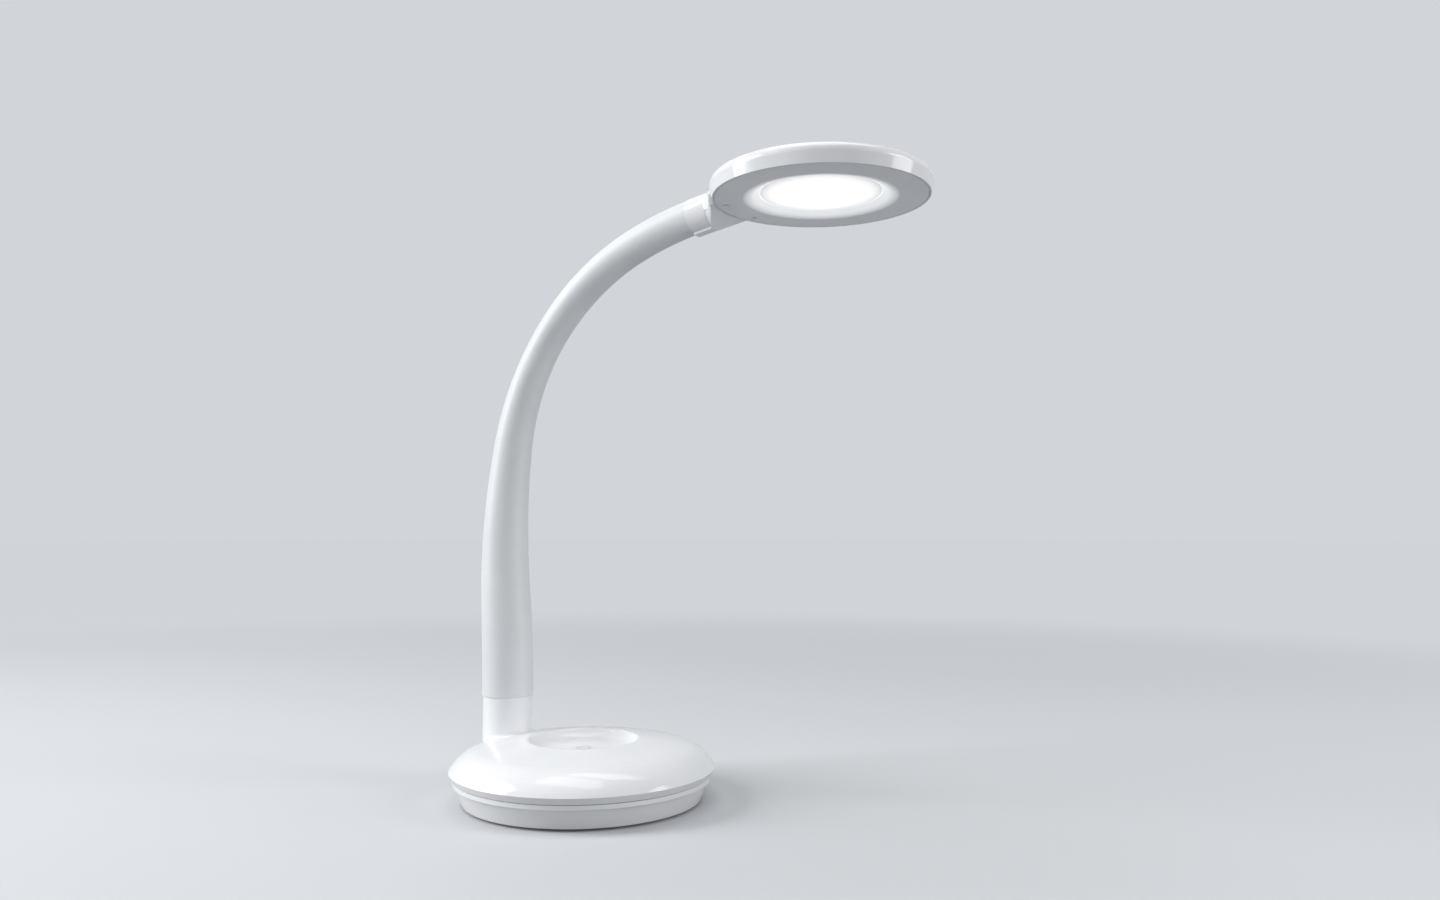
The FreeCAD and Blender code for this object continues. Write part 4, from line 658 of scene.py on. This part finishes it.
def sleeveProfile(start, finish, lipAtStart, lipAtFinish):  # distance and inset of each ring
    lip, rounding = sleeveSizes["lip"], sleeveSizes["rounding"]
    first = [(start + lip * along, lip * inward) for along, inward in rounding]
    last = [(finish - lip * along, lip * inward) for along, inward in reversed(rounding)]
    inner = start + (lip if lipAtStart else 0)
    outer = finish - (lip if lipAtFinish else 0)
    count = round((outer - inner) / sleeveSizes["ringStep"])
    stations = [inner + (outer - inner) * step / count for step in range(count + 1)]
    outside = [(station, 0.0) for station in stations]
    if lipAtStart:
        outside = first[:-1] + outside
    if lipAtFinish:
        outside = outside + last[1:]
    wall, half = sleeveSizes["wall"], count // 2
    inside = [(start + (finish - start) * step / half, wall) for step in range(half + 1)]
    return outside + inside[::-1]


def makeSleevePiece(index):
    pitch = sum(length for length, _ in sleeveSizes["arcs"]) / sleeveSizes["bends"]
    start, finish = index * pitch, (index + 1) * pitch
    atFoot, atNeck = index == 0, index == sleeveSizes["bends"] - 1
    angles = around(sleeveSizes["around"])
    verts, rings = [], []
    for distance, inset in sleeveProfile(start, finish, atFoot, atNeck):
        place, lean = armStation(distance)
        radius = (sleeveRadius(distance) - inset) * mm
        across = Vector((math.cos(lean), 0, -math.sin(lean)))
        rings.append(len(verts))
        for angle in angles:
            verts.append(place + across * (radius * math.cos(angle))
                         + Vector((0, radius * math.sin(angle), 0)))
    piece = meshObject(f"sleeveSkin_{index + 1}", verts, loopFaces(rings, len(angles), True),
                       "sleeveWhite")
    inset = sleeveSizes["blendInset"]
    low = armStation(sleeveSizes["spigot"] if atFoot else start + inset)[0]
    high = armStation(finish - sleeveSizes["spigot"] if atNeck else finish - inset)[0]
    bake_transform(piece)
    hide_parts(f"sleeve_{index}", f"sleeve_{index + 1}")


for index, joint in enumerate(frame["joints"]):
    makeSleevePiece(index)
print("sleeve ready")


# Screws with a cross recess, either side of the neck

screwSizes = {
    "circle": 50.0, "spread": 16.5, "sunk": 0.12, "turns": (14, 62),
    "length": 7.0, "shankRadius": 1.25, "tipTaper": 0.7, "tipLength": 0.4,
    "headRadius": 2.4, "headHeight": 1.1, "rimWidth": 0.2,
    "rimSide": 0.16, "rimBreak": (0.03, 0.05),  # straight side, then a broken edge, in and down
    "crossLength": 1.5, "crossWidth": 0.42, "crossDepth": 1.3, "crossTaper": 0.55,
    "crossBreak": (0.08, 0.07), "cornerSpread": 0.12,
}


def crossReach(angle, reach, width):  # distance from the middle to the edge of a cross
    along, aside = abs(math.cos(angle)), abs(math.sin(angle))

    def boxExit(wide, tall):
        return min(wide / max(along, tiny), tall / max(aside, tiny))

    return max(boxExit(reach, width), boxExit(width, reach))


def makeScrew(name, foot, turn, body):  # the head's face looks down, the shank goes up
    sizes = screwSizes
    reach, width = sizes["crossLength"], sizes["crossWidth"]
    corners = [math.atan2(width, reach), math.pi / 4, math.atan2(reach, width)]
    spread = sizes["cornerSpread"]
    angles = sorted([quarter * math.pi / 2 + corner for quarter in range(4) for corner in corners]
                    + [math.pi / 4 * part + spread * side for part in range(8) for side in (-1, 1)]
                    + [quarter * math.pi / 2 for quarter in range(4)])
    count = len(angles)
    head, shank, length = sizes["headRadius"], sizes["shankRadius"], sizes["length"]
    depth, taper = sizes["crossDepth"], sizes["crossTaper"]
    rimIn, rimDown = sizes["rimBreak"]
    widen, sink = sizes["crossBreak"]
    levels = [  # the radius at an angle, and the height, from the tip to the recess's floor
        (lambda angle: shank * sizes["tipTaper"], length),
        (lambda angle: shank, length - sizes["tipLength"]),
        (lambda angle: shank, sizes["headHeight"]),
        (lambda angle: head, sizes["rimSide"]),
        (lambda angle: head - rimIn, rimDown),
        (lambda angle: head - sizes["rimWidth"], 0.0),
        (lambda angle: crossReach(angle, reach + widen, width + widen), 0.0),
        (lambda angle: crossReach(angle, reach, width), sink),
        (lambda angle: crossReach(angle, reach * taper, width * taper), depth),
    ]
    turned = math.radians(turn)
    verts, rings = [], []
    for radiusAt, height in levels:
        rings.append(len(verts))
        for angle in angles:
            radius = radiusAt(angle)
            verts.append(foot + Vector((radius * math.cos(angle + turned),
                                        radius * math.sin(angle + turned), height)) * mm)
    faces = loopFaces(rings, count, False) + capFaces(rings, count, len(verts), len(verts) + 1)
    verts += [foot + Vector((0, 0, height)) * mm for height in (length, depth)]
    piece = meshObject(name, verts, faces, "screwSteel", 28)
    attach(piece, body)
    return piece


headLow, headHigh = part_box("head_bezel")
headMiddle = Vector(((headLow.x + headHigh.x) / 2, 0, headLow.z))
for number, side in enumerate((-1, 1)):
    angle = math.radians(screwSizes["spread"])
    foot = headMiddle + Vector((-screwSizes["circle"] * math.cos(angle),
                                side * screwSizes["circle"] * math.sin(angle),
                                screwSizes["sunk"])) * mm
    turn = screwSizes["turns"][number]
    screw = makeScrew(f"headScrew_{number + 1}", foot, turn, "head")
    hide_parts("head_screws")
print("head screws ready")


# Foot pad: a die-cut foam disc with a soft lower edge and a slightly bulging side

padSizes = {
    "radius": 61.0, "thickness": 1.5, "topGap": 0.02, "bulge": 0.12, "around": 128,
    "round": 0.45, "roundSteps": 4, "shoulder": (0.3, 0.6),  # shares of the round, in and down
    "middleShare": 0.5, "border": 3,
}


def makeFootPad():
    radius, thick, bulge = (padSizes[name] for name in ("radius", "thickness", "bulge"))
    soft, steps, flat = padSizes["round"], padSizes["roundSteps"], radius - padSizes["border"]
    shoulderIn, shoulderDown = padSizes["shoulder"]
    top = thick - padSizes["topGap"]
    profile = [(radius * padSizes["middleShare"], 0.0), (flat, 0.0), (radius - bulge - soft, 0.0)]
    for step in range(1, steps + 1):
        angle = math.pi / 2 * step / steps
        inward, upward = soft * (1 - math.sin(angle)), soft * (1 - math.cos(angle))
        profile.append((radius - bulge - inward, upward))
    profile += [(radius, thick / 2), (radius - bulge, thick - soft * shoulderDown),
                (radius - bulge - soft * shoulderIn, top), (flat, top)]
    angles = around(padSizes["around"])
    verts, rings = [], []
    for across, height in profile:
        rings.append(len(verts))
        for angle in angles:
            verts.append(Vector((across * math.cos(angle), across * math.sin(angle), height)) * mm)
    faces = [face[::-1] for face in loopFaces(rings, len(angles), False)]
    faces += capFaces(rings, len(angles), len(verts), len(verts) + 1)
    verts += [Vector((0, 0, 0)), Vector((0, 0, top)) * mm]
    piece = meshObject("footPad", verts, faces, "footFoam", 40)
    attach(piece, "base")
    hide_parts("foot_pad")


makeFootPad()
print("foot pad ready")


# Touch mark: a plain on and off sign, printed on the floor of the dish

markSizes = {
    "outer": 4.3, "stroke": 0.75, "opening": 34.0, "ringSteps": 48,
    "barStart": 1.2, "barEnd": 5.0, "facing": 180.0,
    "height": 28.6,  # the dish's floor, which the print sinks into and stands on
    "sunk": 0.01, "thickness": 0.04,
}
markLook = {  # grey print
    "colour": tone(140, 142, 146), "clouded": tone(150, 152, 156),
    "edgeColour": tone(130, 132, 136), "dustColour": tone(190, 188, 184),
    "clouding": 0.7, "edgeLift": 0.2, "dust": 0.1, "smudge": 0.4,
    "rippleScale": 3000.0, "rippleDepth": 0.000003, "cloudScale": 400.0,
    "edgeRadius": 0.00002, "roughness": (0.3, 0.45), "fixed": {"IOR": 1.5},
}
materials["markPrint"] = mouldedMaterial("markPrint", markLook)


def stripMesh(name, left, right):  # a thin printed strip between two lines of points
    low = markSizes["height"] - markSizes["sunk"]
    high = markSizes["height"] + markSizes["thickness"]
    count = len(left)
    verts = [Vector((x, y, z)) * mm
             for z in (low, high) for line in (left, right) for x, y in line]
    lowLeft, lowRight, highLeft, highRight = (count * part for part in range(4))
    faces = []
    for step in range(count - 1):
        after = step + 1
        faces.append((highLeft + step, highRight + step, highRight + after, highLeft + after))
        faces.append((lowLeft + step, lowLeft + after, lowRight + after, lowRight + step))
        faces.append((lowLeft + step, highLeft + step, highLeft + after, lowLeft + after))
        faces.append((lowRight + step, lowRight + after, highRight + after, highRight + step))
    for end in (0, count - 1):
        side = (lowLeft + end, lowRight + end, highRight + end, highLeft + end)
        faces.append(side if end == 0 else side[::-1])
    piece = meshObject(name, verts, faces, "markPrint", 30)
    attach(piece, "base")


def makeTouchMark():
    facing = math.radians(markSizes["facing"])
    gap = math.radians(markSizes["opening"])
    outer, inner = markSizes["outer"], markSizes["outer"] - markSizes["stroke"]
    steps = markSizes["ringSteps"]
    turns = [facing + gap + (2 * math.pi - 2 * gap) * step / steps for step in range(steps + 1)]
    stripMesh("touchMarkRing",
              [(inner * math.cos(turn), inner * math.sin(turn)) for turn in turns],
              [(outer * math.cos(turn), outer * math.sin(turn)) for turn in turns])
    ahead = Vector((math.cos(facing), math.sin(facing), 0))
    aside = Vector((-math.sin(facing), math.cos(facing), 0)) * markSizes["stroke"] / 2
    ends = [ahead * markSizes["barStart"], ahead * markSizes["barEnd"]]
    stripMesh("touchMarkBar",
              [tuple((end + aside)[:2]) for end in ends],
              [tuple((end - aside)[:2]) for end in ends])


makeTouchMark()
print("touch mark ready")


# Floor, light and camera

floorLook = {
    "reach": 9.0, "sides": 64, "fadeStart": 0.3, "fadeEnd": 1.3, "fadeSoftness": 0.1,
    "seen": tone(214, 216, 219), "clouded": tone(211, 214, 218), "clouding": 0.2,
    "bounce": tone(136, 138, 141), "far": tone(209, 213, 218),
    "rippleScale": 300.0, "rippleDepth": 0.00002, "cloudScale": 2.0,
    "fixed": {"Roughness": 0.7, "Specular IOR Level": 0.15},
}


def seenDirectly(tree, place):  # camera, mirror and glass rays
    path = addNode(tree, "ShaderNodeLightPath", place)
    rays = path.outputs
    both = calc(tree, (place[0] + 200, place[1]), "MAXIMUM",
                rays["Is Camera Ray"], rays["Is Glossy Ray"])
    return calc(tree, (place[0] + 380, place[1]), "MAXIMUM", both, rays["Is Transmission Ray"])


def makeFloor():  # a wide sheet whose far part runs into the backdrop's own tone
    look, reach = floorLook, floorLook["reach"]
    ring = [(reach * math.cos(angle), reach * math.sin(angle), 0)
            for angle in around(look["sides"])]
    mesh = bpy.data.meshes.new("floorSheet")
    mesh.from_pydata(ring, [], [tuple(range(len(ring)))])
    floor = bpy.data.objects.new("floorSheet", mesh)
    bpy.context.scene.collection.objects.link(floor)
    material, tree, shader = newMaterial("floorPaint", look["fixed"])
    skin = placeGroup(tree, mouldSkin, (-700, 400), Ripple_Scale=look["rippleScale"],
                      Cloud_Scale=look["cloudScale"])
    share = calc(tree, (-500, 400), "MULTIPLY", skin["Cloud"], look["clouding"])
    paint = mixTone(tree, (-300, 400), share, look["seen"], look["clouded"])
    direct = seenDirectly(tree, (-900, 100))
    paint = mixTone(tree, (-100, 300), direct, look["bounce"], paint)
    tree.links.new(paint, shader["Base Color"])
    relief(tree, shader, skin["Ripple"], look["rippleDepth"])
    where = addNode(tree, "ShaderNodeTexCoord", (-900, -200))
    far = addNode(tree, "ShaderNodeVectorMath", (-700, -200), operation="LENGTH")
    tree.links.new(where.outputs["Object"], far.inputs[0])
    fade = span(tree, (-500, -200), far.outputs["Value"], look["fadeStart"],
                look["fadeEnd"], 0.0, 1.0)
    fade = calc(tree, (-300, -200), "SMOOTH_MIN", fade, 1.0, look["fadeSoftness"])
    glow = addNode(tree, "ShaderNodeEmission", (600, -500))
    glow.inputs["Color"].default_value = look["far"]
    pick = addNode(tree, "ShaderNodeMixShader", (850, -200))
    feed(tree, pick.inputs["Fac"], calc(tree, (-100, -200), "MULTIPLY", fade, direct))
    output = next(node for node in tree.nodes if node.type == "OUTPUT_MATERIAL")
    principled = next(node for node in tree.nodes if node.type == "BSDF_PRINCIPLED")
    tree.links.new(principled.outputs[0], pick.inputs[1])
    tree.links.new(glow.outputs[0], pick.inputs[2])
    tree.links.new(pick.outputs[0], output.inputs["Surface"])
    floor.data.materials.append(material)


lamps = {  # place and size in metres, power in watts
    "keyLeft": {"place": (-1.3, -0.95, 0.9), "aim": (0.0, 0.0, 0.16),
                "size": (0.8, 1.5), "power": 31.0},
    "stripRight": {"place": (1.25, 0.45, 0.5), "aim": (0.0, 0.0, 0.2),
                   "size": (0.55, 1.1), "power": 8.0},
    "overhead": {"place": (0.0, 0.1, 1.7), "aim": (0.0, 0.0, 0.0),
                 "size": (1.2, 1.2), "power": 10.5},
    "frontFill": {"place": (0.55, -1.3, 0.42), "aim": (0.1, 0.0, 0.28),
                  "size": (1.9, 0.8), "power": 5.5},
}


def makeLamps():
    for name, lamp in lamps.items():
        light = bpy.data.lights.new(name, "AREA")
        light.shape = "RECTANGLE"
        light.size, light.size_y = lamp["size"]
        light.energy = lamp["power"]
        holder = bpy.data.objects.new(name, light)
        place, aim = Vector(lamp["place"]), Vector(lamp["aim"])
        holder.location = place
        holder.rotation_euler = (aim - place).to_track_quat("-Z", "Y").to_euler()
        bpy.context.scene.collection.objects.link(holder)


studio = {"soft": tone(232, 236, 241), "strength": 0.185}


def makeWorld():
    world = bpy.data.worlds.new("studio")
    world.use_nodes = True
    tree = world.node_tree
    tree.nodes.clear()
    soft = addNode(tree, "ShaderNodeBackground", (0, 100))
    soft.inputs["Color"].default_value = studio["soft"]
    soft.inputs["Strength"].default_value = studio["strength"]
    plain = addNode(tree, "ShaderNodeBackground", (0, -100))
    plain.inputs["Color"].default_value = floorLook["far"]
    pick = addNode(tree, "ShaderNodeMixShader", (250, 0))
    feed(tree, pick.inputs["Fac"], seenDirectly(tree, (-600, 200)))
    tree.links.new(soft.outputs[0], pick.inputs[1])
    tree.links.new(plain.outputs[0], pick.inputs[2])
    output = addNode(tree, "ShaderNodeOutputWorld", (500, 0))
    tree.links.new(pick.outputs[0], output.inputs["Surface"])
    bpy.context.scene.world = world


cameraView = {
    "place": (0.4008, -0.4952, 0.1573), "ahead": (-0.5295, 0.8484), "pitch": 3.75,
    "lens": 27.28, "sensor": 36.0, "clipStart": 0.01,
}


def makeCamera():
    data = bpy.data.cameras.new("photoCamera")
    data.lens, data.sensor_width = cameraView["lens"], cameraView["sensor"]
    data.clip_start = cameraView["clipStart"]
    holder = bpy.data.objects.new("photoCamera", data)
    pitch = math.radians(cameraView["pitch"])
    x, y = cameraView["ahead"]
    look = Vector((x * math.cos(pitch), y * math.cos(pitch), math.sin(pitch)))
    holder.location = cameraView["place"]
    holder.rotation_euler = look.to_track_quat("-Z", "Y").to_euler()
    bpy.context.scene.collection.objects.link(holder)
    bpy.context.scene.camera = holder


makeFloor()
makeLamps()
makeWorld()
makeCamera()
bpy.context.scene.view_settings.view_transform = "Standard"
print("floor, light and camera ready")
